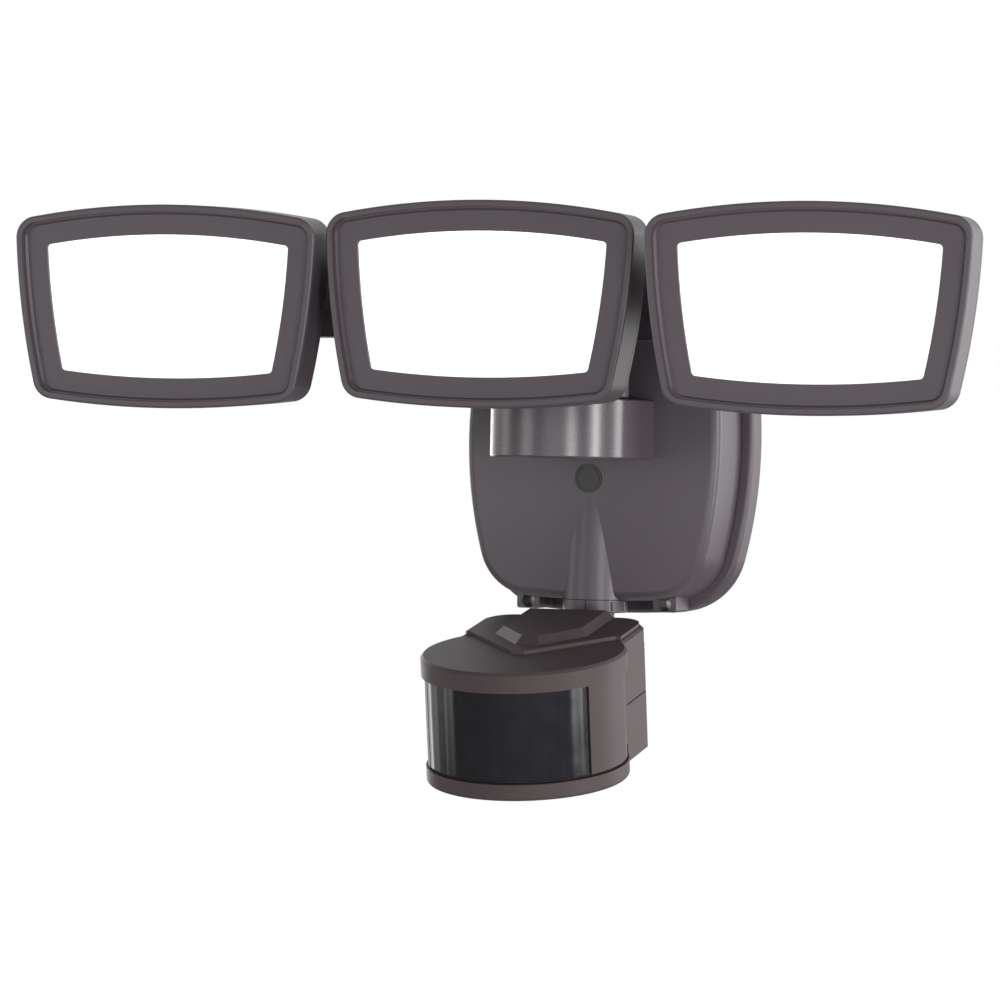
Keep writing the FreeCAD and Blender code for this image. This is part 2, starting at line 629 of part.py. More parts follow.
def bar_hollow(solid):
    """The wire channel inside the bar, and the hollow open under the drum."""
    half = BAR_HALF - 16.0
    front = BAR_FRONT_Y + CHANNEL_FRONT
    back = BAR_BACK_Y - BAR_WALL
    low = BAR_STEP_Z + 1.0
    drop = BAR_SWEEP * (half / BAR_HALF) ** 2
    a = V(-half, front - drop, low)
    b = V(half, front - drop, low)
    c = V(half, back - drop, low)
    d = V(-half, back - drop, low)
    edges = [Part.Arc(a, V(0, front, low), b).toShape(), Part.LineSegment(b, c).toShape()]
    edges += [Part.Arc(c, V(0, back, low), d).toShape(), Part.LineSegment(d, a).toShape()]
    solid = solid.cut(Part.Face(Part.Wire(edges)).extrude(V(0, 0, BAR_TOP_Z - BAR_WALL - low)))
    return solid.cut(tube(TURRET_R - 3.5, STEM_R + 4, V(0, TURRET_Y, DRUM_LOW_Z - 1), Z, 19.0))


def make_stem_nut():
    """The nut that holds the turret down on the arm block."""
    z0 = NUT_POCKET_TOP_Z - NUT_HEIGHT - SEAT
    nut = hex_bar(NUT_FLATS, V(0, TURRET_Y, z0), Z, NUT_HEIGHT)
    return nut.cut(rod(STEM_R + RUN, V(0, TURRET_Y, z0 - 1), Z, 10))


# ---------------------------------------------------------------- lamp head, tilt axis at the origin

def open_wire(grow, radius, y):
    corners = [(-OPEN_TOP_X, OPEN_HALF_Z), (OPEN_TOP_X, OPEN_HALF_Z), (OPEN_LOW_X, -OPEN_HALF_Z),
               (-OPEN_LOW_X, -OPEN_HALF_Z)]
    bows = [OPEN_BOW_TOP, OPEN_BOW_SIDE, OPEN_BOW_LOW, OPEN_BOW_SIDE]
    return bowed_wire(corners, bows, grow, radius, y)


def open_prism(grow, radius, y0, y1):
    return prism(open_wire(grow, radius, y0), y1 - y0)


def bezel_screw_points():
    """Screw places in the thick part of the head's rim, found from the opening's bowed edges."""
    points = []
    for side in (-1, 1):
        share = 1 - (BEZEL_SCREW_TOP_X / OPEN_TOP_X) ** 2
        points.append((side * BEZEL_SCREW_TOP_X, OPEN_HALF_Z + OPEN_BOW_TOP * share + BEZEL_SCREW_GROW))
        share = 1 - (BEZEL_SCREW_LOW_X / OPEN_LOW_X) ** 2
        points.append((side * BEZEL_SCREW_LOW_X, -OPEN_HALF_Z - OPEN_BOW_LOW * share - BEZEL_SCREW_GROW))
    return points


def lens_back():
    return FRAME_Y + FRAME_THICK + LENS_THICK + 2 * SEAT


def land_y():
    """The front face of the housing's spigot, on which the seal lies."""
    return lens_back() + SEAL_THICK + 2 * SEAT


def make_bezel():
    """The front frame: raised rim, stepped recess, flat frame round the lens and a deep skirt."""
    solid = open_prism(RIM_GROW, RIM_CORNER_R, RIM_Y, SKIRT_BACK_Y)
    solid = solid.makeFillet(0.9, rim_edges(solid, Y, RIM_Y))
    inner = RIM_GROW - RIM_WIDTH
    step_r = RIM_CORNER_R - RIM_WIDTH
    solid = solid.cut(open_prism(inner, step_r, RIM_Y - 1, FRAME_Y - 1.3))
    slope = loft(open_wire(inner - 0.6, step_r, FRAME_Y - 1.4), open_wire(inner - 1.4, step_r - 1, FRAME_Y))
    solid = solid.cut(slope)
    solid = solid.cut(open_prism(0, OPEN_CORNER_R, RIM_Y, SKIRT_BACK_Y + 1))
    solid = solid.cut(open_prism(inner, step_r, FRAME_Y + FRAME_THICK, SKIRT_BACK_Y + 1))
    for x, z in bezel_screw_points():
        y0 = FRAME_Y + FRAME_THICK - 0.4
        solid = solid.fuse(rod(2.9, V(x, y0, z), Y, land_y() - SEAT - y0))
        solid = solid.cut(rod(BEZEL_SCREW_R + RUN, V(x, y0 + 0.6, z), Y, 10))
    return solid.removeSplitter()


def make_lens():
    """The flat diffusing panel, held between the bezel's frame and the seal."""
    y0 = FRAME_Y + FRAME_THICK + SEAT
    return open_prism(LENS_GROW, 3.0, y0, y0 + LENS_THICK)


def make_lens_seal():
    y0 = lens_back() + SEAT
    ring = open_prism(LENS_GROW, 3.0, y0, y0 + SEAL_THICK)
    return ring.cut(open_prism(0.4, 1.8, y0 - 1, y0 + 5))


def make_housing():
    """The finned cast housing: spigot, flange, tapered body, fins and two ears."""
    spigot = open_prism(SPIGOT_GROW, RIM_CORNER_R - 2.8, land_y(), TAPER_START_Y)
    flange = open_prism(RIM_GROW, RIM_CORNER_R, SKIRT_BACK_Y + 0.3, TAPER_START_Y)
    taper = loft(open_wire(RIM_GROW, RIM_CORNER_R, TAPER_START_Y), open_wire(TAPER_END_GROW, 5.0, TAPER_END_Y))
    solid = spigot.fuse(flange).fuse(taper)
    cavity = loft(open_wire(0.3, 1.8, land_y()), open_wire(-4.0, 2.0, CAVITY_END_Y))
    solid = solid.cut(cavity)
    solid = solid.cut(fin_gaps())
    for x, z in bezel_screw_points():
        solid = solid.cut(rod(BEZEL_SCREW_R + 0.15, V(x, land_y() - 1, z), Y, 30))
        solid = solid.cut(rod(BEZEL_SCREW_HEAD_R + 0.2, V(x, SKIRT_BACK_Y - BEZEL_SEAT, z), Y, 40))
    for side in (-1, 1):
        solid = solid.fuse(head_ear(side))
    solid = solid.cut(rod(JOINT_BOLT_R + RUN, V(-30, 0, 0), X, 60))
    return solid.removeSplitter()


def fin_gaps():
    """The slots between the cooling fins, cut into the back of the housing."""
    gaps = []
    gap = FIN_PITCH - FIN_THICK
    for side in (-1, 1):
        for i in range(5):
            start = FIN_FIRST_X + i * FIN_PITCH
            x0 = start if side > 0 else -start - gap
            gaps.append(box(x0, x0 + gap, TAPER_END_Y - FIN_DEPTH, TAPER_END_Y + 1, -60, 60))
    return Part.makeCompound(gaps)


def head_ear(side):
    """One of the two ears that straddle the knuckle."""
    inner = KNUCKLE_HALF + MOVE
    x0 = inner if side > 0 else -inner - EAR_THICK
    ear = rod(EAR_R, V(x0, 0, 0), X, EAR_THICK)
    ear = ear.fuse(box(x0, x0 + EAR_THICK, TAPER_END_Y - 1, 0, -EAR_R, EAR_R))
    gusset = plate_yz([(TAPER_END_Y - 1, -15), (TAPER_END_Y, -15), (-3, -EAR_R + 0.2), (-3, EAR_R - 0.2),
                       (TAPER_END_Y, 15), (TAPER_END_Y - 1, 15)], x0, x0 + EAR_THICK)
    return ear.fuse(gusset).removeSplitter()


def make_reflector():
    """The white tray between the lamp board and the lens."""
    front = land_y() + 0.1
    back = CAVITY_END_Y - 2.0
    outer = loft(open_wire(-0.4, 1.4, front), open_wire(-7.5, 3.0, back))
    inner = loft(open_wire(-1.4, 1.2, front - 0.01), open_wire(-8.7, 2.4, back + 0.01))
    return outer.cut(inner)


def make_led_board():
    y0 = CAVITY_END_Y - SEAT - LED_BOARD_THICK
    return open_prism(-6.0, 3.0, y0, y0 + LED_BOARD_THICK)


def make_leds():
    """The rows of light-emitting chips on the board."""
    chips = []
    front = CAVITY_END_Y - 2 * SEAT - LED_BOARD_THICK
    for row in range(LED_ROWS):
        for column in range(LED_COLUMNS):
            x = (column - (LED_COLUMNS - 1) / 2) * LED_PITCH_X
            z = (row - (LED_ROWS - 1) / 2) * LED_PITCH_Z + 0.8
            half = LED_SIZE / 2
            chips.append(box(x - half, x + half, front - 0.9, front, z - half, z + half))
    return chips


def make_bezel_screws():
    """Four equal screws from the back of the housing into the bezel."""
    screws = []
    for x, z in bezel_screw_points():
        seat_y = SKIRT_BACK_Y - BEZEL_SEAT
        tip_y = land_y() - 3.4
        head = rod(BEZEL_SCREW_HEAD_R, V(x, seat_y + SEAT, z), Y, 1.9)
        head = head.cut(box(x - 1.8, x + 1.8, seat_y + 1.0, seat_y + 9, z - 0.35, z + 0.35))
        shank = rod(BEZEL_SCREW_R, V(x, tip_y, z), Y, seat_y + 0.2 - tip_y)
        screws.append(head.fuse(shank))
    return screws


def make_knuckle():
    """The cross-shaped link: an upright swivel barrel and a level tilt barrel."""
    upright = rod(BARREL_R, V(0, SWIVEL_BACK, -BARREL_HALF), Z, 2 * BARREL_HALF)
    level = rod(BARREL_R, V(-KNUCKLE_HALF, 0, 0), X, 2 * KNUCKLE_HALF)
    bridge = box(-6.5, 6.5, 0, SWIVEL_BACK, -BARREL_R + 0.6, BARREL_R - 0.6)
    solid = upright.fuse(level).fuse(bridge)
    solid = solid.cut(rod(JOINT_BOLT_R + RUN, V(0, SWIVEL_BACK, -30), Z, 60))
    return solid.cut(rod(JOINT_BOLT_R + RUN, V(-30, 0, 0), X, 60)).removeSplitter()


def joint_bolt(start, direction, grip):
    """A button-head bolt: the head outside the first ear, the shank through both."""
    head = rod(JOINT_HEAD_R, start, -direction, JOINT_HEAD)
    top = start - direction * JOINT_HEAD
    head = head.makeFillet(1.4, rim_edges(head, direction, top.dot(direction)))
    head = head.cut(hex_bar(3.4, top - direction * 0.1, direction, 2.2))
    shank = rod(JOINT_BOLT_R, start - direction * 0.5, direction, grip + 0.5)
    return head.fuse(shank).removeSplitter()


def make_tilt_bolt():
    outside = KNUCKLE_HALF + MOVE + EAR_THICK
    return joint_bolt(V(-outside - SEAT, 0, 0), X, 2 * outside + 1.5)


def make_swivel_bolt():
    outside = BARREL_HALF + MOVE + EAR_THICK
    return joint_bolt(V(0, SWIVEL_BACK, outside + SEAT), -Z, 2 * outside + 1.5)


def place_head(shape, head, tilted):
    """Tilt about the origin, then turn about the swivel axis and move to the bar."""
    placed = shape.copy()
    if tilted:
        placed.rotate(V(0, 0, 0), X, head["tilt"])
    placed.translate(V(0, -SWIVEL_BACK, 0))
    placed.rotate(V(0, 0, 0), Z, head["turn"])
    placed.translate(V(head["x"], head["y"], HEAD_PIVOT_Z))
    return placed


def place_fixed(shape, head):
    """Pieces of the joint that stay with the bar."""
    placed = shape.copy()
    placed.translate(V(head["x"], head["y"] - SWIVEL_BACK, HEAD_PIVOT_Z))
    return placed


# ---------------------------------------------------------------- motion sensor

def sensor_drum(radius, z0, z1):
    return rod(radius, V(0, 0, z0), Z, z1 - z0)


def rear_block(half_x, rear, corner_r, z0, z1):
    """The squared part behind the drum, with its two rear corners rounded."""
    block = box(-half_x, half_x, 0, rear, z0, z1)
    edges = [e for e in side_edges(block, Z) if e.BoundBox.YMin > rear - 0.01]
    return block.makeFillet(corner_r, edges)


def cap_layer(inset, z0, z1):
    disc = sensor_drum(CAP_R - inset, z0, z1)
    block = rear_block(CAP_REAR_X - inset, CAP_REAR_Y - inset, CAP_REAR_R - inset, z0, z1)
    return disc.fuse(block).removeSplitter()


def make_sensor_cap():
    """The cap: a round rim, a raised step with a pointed front and a bevelled ridge behind it."""
    solid = cap_layer(0, 0, CAP_RIM)
    solid = solid.makeChamfer(CAP_EDGE, rim_edges(solid, Z, CAP_RIM))
    step = plate_xy([(-2.6, -7.2), (2.6, -7.2), (31, 25), (45, 25), (45, 70), (-45, 70), (-45, 25), (-31, 25)],
                    CAP_RIM - 1, CAP_RIM + CAP_STEP)
    step = step.common(cap_layer(CAP_EDGE + 0.7, CAP_RIM - 2, CAP_RIM + CAP_STEP + 1))
    solid = solid.fuse(step).fuse(cap_ridge())
    solid = solid.cut(sensor_drum(DRUM_R - DRUM_WALL, -1, 5.0))
    solid = solid.cut(box(-BOX_X + 3, BOX_X - 3, 0, BOX_REAR_Y - 4, -1, 5.0))
    return solid.removeSplitter()


def cap_ridge():
    base_z = CAP_RIM + CAP_STEP - 0.3
    top_z = CAP_RIM + CAP_STEP + CAP_RIDGE
    base = [(-5, 3.6), (5, 3.6), (20, 22.5), (20, 59), (-20, 59), (-20, 22.5)]
    top = [(-3.2, 8.2), (3.2, 8.2), (16.5, 24.5), (16.5, 58.4), (-16.5, 58.4), (-16.5, 24.5)]
    wires = []
    for points, z in ((base, base_z), (top, top_z)):
        corners = [V(x, y, z) for x, y in points]
        wires.append(Part.makePolygon(corners + corners[:1]))
    return Part.makeLoft(wires, True, True)


def window_wedge(half_angle, reach, z0, z1):
    a = math.radians(half_angle)
    far = reach / math.cos(a / 2)
    end = (reach * math.sin(a), -reach * math.cos(a))
    knee = (far * math.sin(a / 2), -far * math.cos(a / 2))
    points = [(0, 0), (-end[0], end[1]), (-knee[0], knee[1]), (0, -reach * 1.05), knee, end]
    return plate_xy(points, z0, z1)


def make_sensor_window():
    """The smoked lens wrapped round the front of the drum."""
    ring = sensor_drum(DRUM_R, DRUM_FLOOR_Z + 0.4, -0.3)
    ring = ring.cut(sensor_drum(DRUM_R - WINDOW_THICK, DRUM_FLOOR_Z - 1, 1))
    return ring.common(window_wedge(WINDOW_SPAN, 60, DRUM_FLOOR_Z - 1, 1))


def make_sensor_body():
    """Drum, back box and ears in one moulding, open towards the cap."""
    solid = sensor_drum(DRUM_R, DRUM_FLOOR_Z, -SEAT)
    back = rear_block(BOX_X, BOX_REAR_Y, 4.0, RING_LOW_Z, -SEAT)
    back = back.cut(box(-60, 60, -5, BOX_FRONT_Y, RING_LOW_Z - 1, DRUM_FLOOR_Z))
    solid = solid.fuse(back).fuse(sensor_drum(DRUM_R - 3.0, RING_TOP_Z, DRUM_FLOOR_Z + 1))
    hollow = sensor_drum(DRUM_R - DRUM_WALL, DRUM_FLOOR_Z + 2.2, 1)
    hollow = hollow.fuse(box(-BOX_X + 2.5, BOX_X - 2.5, 0, BOX_REAR_Y - 2.5, DRUM_FLOOR_Z + 2.2, 1))
    solid = solid.cut(hollow)
    slit = math.degrees(WINDOW_SLIT / DRUM_R)
    opening = window_wedge(WINDOW_SPAN + slit, 60, DRUM_FLOOR_Z + 0.1, 1)
    opening = opening.cut(sensor_drum(DRUM_R - WINDOW_THICK - 0.15, DRUM_FLOOR_Z - 1, DRUM_FLOOR_Z + 2.2))
    solid = solid.cut(opening)
    seam = box(-60, 60, BOX_FRONT_Y, 70, -20.4, -19.8)
    seam = seam.cut(rear_block(BOX_X - 0.6, BOX_REAR_Y - 0.6, 3.4, -21, -19))
    solid = solid.cut(seam)
    for side in (-1, 1):
        solid = solid.fuse(sensor_ear(side))
    solid = solid.cut(rod(JOINT_BOLT_R + RUN, V(-30, AXIS_Y, AXIS_Z), X, 60))
    return solid.removeSplitter()


def sensor_ear(side):
    x0 = SENSOR_EAR_IN if side > 0 else -SENSOR_EAR_IN - SENSOR_EAR_THICK
    ear = rod(EAR_R, V(x0, AXIS_Y, AXIS_Z), X, SENSOR_EAR_THICK)
    arm = plate_yz([(BOX_REAR_Y - 1, -24), (BOX_REAR_Y - 1, -0.6), (AXIS_Y, -0.6), (AXIS_Y, AXIS_Z - EAR_R)],
                   x0, x0 + SENSOR_EAR_THICK)
    return ear.fuse(arm)


def make_sensor_ring():
    """The bottom cover, with two pockets for the adjusters."""
    ring = sensor_drum(RING_R, RING_LOW_Z, RING_TOP_Z - SEAT)
    ring = ring.makeFillet(1.5, rim_edges(ring, Z, RING_LOW_Z))
    ring = ring.cut(box(-BOX_X - 0.3, BOX_X + 0.3, BOX_FRONT_Y - 0.3, 70, -60, 0))
    for x in (-KNOB_X, KNOB_X):
        ring = ring.cut(rod(KNOB_R + 1.6, V(x, KNOB_Y, RING_LOW_Z - 1), Z, KNOB_POCKET + 1))
        ring = ring.cut(rod(KNOB_SHAFT_R + RUN, V(x, KNOB_Y, RING_LOW_Z - 1), Z, 20))
    return ring


def make_knob(x):
    """A small adjuster with a screwdriver slot, a pointer and a notched edge."""
    low = RING_LOW_Z + 0.3
    top = RING_LOW_Z + KNOB_POCKET - MOVE
    knob = rod(KNOB_R, V(x, KNOB_Y, low), Z, top - low)
    for i in range(12):
        angle = math.radians(30 * i)
        centre = V(x + KNOB_R * math.cos(angle), KNOB_Y + KNOB_R * math.sin(angle), low - 1)
        knob = knob.cut(rod(0.6, centre, Z, 10))
    knob = knob.cut(box(x - 4.2, x + 4.2, KNOB_Y - 0.6, KNOB_Y + 0.6, low - 1, low + 1.4))
    knob = knob.fuse(rod(KNOB_SHAFT_R, V(x, KNOB_Y, top - 0.2), Z, RING_TOP_Z - 0.2 - top))
    return knob.cut(plate_xy([(x + 2.6, KNOB_Y + 2.0), (x + 4.0, KNOB_Y + 2.0), (x + 3.3, KNOB_Y + 3.4)],
                             low - 1, low + 0.5))


def make_sensor_board():
    z0 = DRUM_FLOOR_Z + 2.2 + SEAT
    return box(-27, 27, -1.6, 0, z0, z0 + 31)


def make_sensor_eye():
    """The round infrared detector on the front of the board."""
    base = rod(5.2, V(0, -1.6 - SEAT, -17), -Y, 0.8)
    can = rod(4.6, V(0, -1.6 - SEAT, -17), -Y, 4.4)
    can = can.makeFillet(0.5, rim_edges(can, Y, -6.0 - SEAT))
    return base.fuse(can).cut(box(-1.7, 1.7, -7, -5.7, -18.3, -15.7)).removeSplitter()


def make_sensor_bolt():
    outside = SENSOR_EAR_IN + SENSOR_EAR_THICK
    return joint_bolt(V(-outside - SEAT, AXIS_Y, AXIS_Z), X, 2 * outside + 1.0)


def sensor_axis():
    """The sensor's tilt axis in the fixture's frame, before its rest turn: y and z."""
    t = math.radians(SENSOR_TILT)
    y = COLLAR_Y - SENSOR_REACH + AXIS_Y * math.cos(t) - AXIS_Z * math.sin(t)
    z = SENSOR_Z + AXIS_Y * math.sin(t) + AXIS_Z * math.cos(t)
    return y, z


def make_sensor_swivel():
    """The turning collar with its hollow spindle above and the tilt barrel below."""
    ay, az = sensor_axis()
    top = COVER_LOW_Z - COLLAR_TOP_GAP
    solid = rod(COLLAR_R, V(0, COLLAR_Y, COLLAR_LOW_Z), Z, top - COLLAR_LOW_Z)
    solid = solid.makeFillet(0.6, rim_edges(solid, Z, COLLAR_LOW_Z))
    solid = solid.fuse(rod(SPINDLE_R, V(0, COLLAR_Y, top - 1), Z, SPINDLE_TOP_Z - top + 1))
    half = SENSOR_EAR_IN - MOVE
    solid = solid.fuse(rod(EAR_R, V(-half, ay, az), X, 2 * half))
    root = COLLAR_LOW_Z + 1
    neck = [(COLLAR_Y + 9, root), (COLLAR_Y - 9, root), (ay - 5.0, az + 6.9), (ay, az)]
    neck += [(ay + 6.5, az - 5.5), (COLLAR_Y + 5, root - 10)]
    solid = solid.fuse(plate_yz(neck, -half, half))
    for angle in (100, 130):
        a = math.radians(angle - 90)
        x = (COLLAR_R - 0.1) * math.cos(a)
        centre = V(x, COLLAR_Y - (COLLAR_R - 0.1) * math.sin(a), COLLAR_LOW_Z + 0.8)
        solid = solid.fuse(rod(0.8, centre, Z, top - COLLAR_LOW_Z - 1.4))
    solid = solid.cut(box(-0.25, 0.25, COLLAR_Y - COLLAR_R - 1, COLLAR_Y - COLLAR_R + 0.5, COLLAR_LOW_Z - 3.8, top + 1))
    solid = solid.cut(rod(SPINDLE_BORE_R, V(0, COLLAR_Y, COLLAR_LOW_Z + 1.5), Z, 40))
    return solid.cut(rod(JOINT_BOLT_R + RUN, V(-30, ay, az), X, 60)).removeSplitter()


def make_sensor_nut():
    """The flanged nut that holds the spindle inside the cover."""
    z0 = COVER_LOW_Z + SPINDLE_SEAT + SEAT
    nut = rod(SPINDLE_NUT_R, V(0, COLLAR_Y, z0), Z, 1.4)
    nut = nut.fuse(hex_bar(SPINDLE_NUT_FLATS, V(0, COLLAR_Y, z0 + 1), Z, 4.6))
    return nut.cut(rod(SPINDLE_R + RUN, V(0, COLLAR_Y, z0 - 1), Z, 12)).removeSplitter()


def place_sensor(shape):
    """From the sensor's own frame to its rest place under the cover."""
    placed = shape.copy()
    placed.rotate(V(0, 0, 0), X, SENSOR_TILT)
    placed.translate(V(0, COLLAR_Y - SENSOR_REACH, SENSOR_Z))
    placed.rotate(V(0, COLLAR_Y, 0), Z, SENSOR_TURN)
    return placed


def turn_sensor(shape):
    placed = shape.copy()
    placed.rotate(V(0, COLLAR_Y, 0), Z, SENSOR_TURN)
    return placed


# ---------------------------------------------------------------- files

def save(name, shape):
    solids = shape if isinstance(shape, list) else shape.Solids
    body = solids[0] if len(solids) == 1 else Part.makeCompound(solids)
    body.exportStep("parts/" + name + ".step")
    print(name, len(solids), all(s.isValid() for s in solids), round(sum(s.Volume for s in solids), 1))


def save_wall_box():
    save("wall_gasket", make_wall_gasket())
    save("back_plate", make_back_plate())
    save("mounting_strap", make_mounting_strap())
    save("mounting_bolt", make_mounting_bolt())
    save("centre_plug", make_centre_plug())
    save("cover_seal", make_cover_seal())
    save("front_cover", make_front_cover())
    save("cover_screws", make_cover_screws())
    save("wire_grommet", make_wire_grommet())
    save("terminal_block", make_terminal_block())
    save("driver_board", make_driver_board())
    save("driver_parts", make_driver_parts())
    save("arm_block", make_arm_block())
    save("arm_screws", make_arm_screws())


def save_heads():
    tilting = {
        "housing": make_housing(), "bezel": make_bezel(), "lens": make_lens(), "lens_seal": make_lens_seal(),
        "reflector": make_reflector(), "led_board": make_led_board(), "leds": Part.makeCompound(make_leds()),
        "bezel_screws": Part.makeCompound(make_bezel_screws()), "tilt_bolt": make_tilt_bolt(),
    }
    knuckle = make_knuckle()
    swivel_bolt = make_swivel_bolt()
    for side, head in HEADS.items():
        for name, shape in tilting.items():
            save(side + "_" + name, place_head(shape, head, True))
        save(side + "_knuckle", place_head(knuckle, head, False))
        save(side + "_swivel_bolt", place_fixed(swivel_bolt, head))


def save_sensor():
    save("sensor_swivel", turn_sensor(make_sensor_swivel()))
    save("sensor_nut", turn_sensor(make_sensor_nut()))
    save("sensor_bolt", place_sensor(make_sensor_bolt()))
    save("sensor_body", place_sensor(make_sensor_body()))
    save("sensor_cap", place_sensor(make_sensor_cap()))
    save("sensor_window", place_sensor(make_sensor_window()))
    save("sensor_ring", place_sensor(make_sensor_ring()))
    save("sensor_board", place_sensor(make_sensor_board()))
    save("sensor_eye", place_sensor(make_sensor_eye()))
    save("time_knob", place_sensor(make_knob(-KNOB_X)))
    save("range_knob", place_sensor(make_knob(KNOB_X)))


save_wall_box()
save("crossbar", make_crossbar())
save("stem_nut", make_stem_nut())
save_heads()
save_sensor()
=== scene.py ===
"""Looks of a motion sensor security light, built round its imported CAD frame."""

import json
import logging
import math
from dataclasses import dataclass, field
from enum import Enum

import bmesh
import bpy
from mathutils import Matrix, Vector


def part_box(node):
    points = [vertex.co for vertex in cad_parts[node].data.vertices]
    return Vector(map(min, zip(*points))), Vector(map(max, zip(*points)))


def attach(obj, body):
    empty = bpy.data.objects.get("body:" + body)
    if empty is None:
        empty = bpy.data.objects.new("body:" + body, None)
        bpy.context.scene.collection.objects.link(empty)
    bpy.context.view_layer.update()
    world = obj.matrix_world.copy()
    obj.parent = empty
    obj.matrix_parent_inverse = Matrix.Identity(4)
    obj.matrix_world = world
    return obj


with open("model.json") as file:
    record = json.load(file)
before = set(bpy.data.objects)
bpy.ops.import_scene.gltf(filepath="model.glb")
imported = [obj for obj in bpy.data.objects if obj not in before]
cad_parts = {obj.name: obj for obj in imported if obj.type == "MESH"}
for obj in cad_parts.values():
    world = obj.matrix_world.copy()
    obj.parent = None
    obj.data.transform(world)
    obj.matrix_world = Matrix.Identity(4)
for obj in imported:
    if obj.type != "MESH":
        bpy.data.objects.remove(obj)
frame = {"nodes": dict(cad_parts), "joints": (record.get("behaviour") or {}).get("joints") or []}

MM = 0.001
IMAGE_SIDE = 1000
logging.basicConfig(level=logging.INFO, format="%(message)s")
log = logging.getLogger("security_light")


# ------------------------------------------------------------------ shader groups

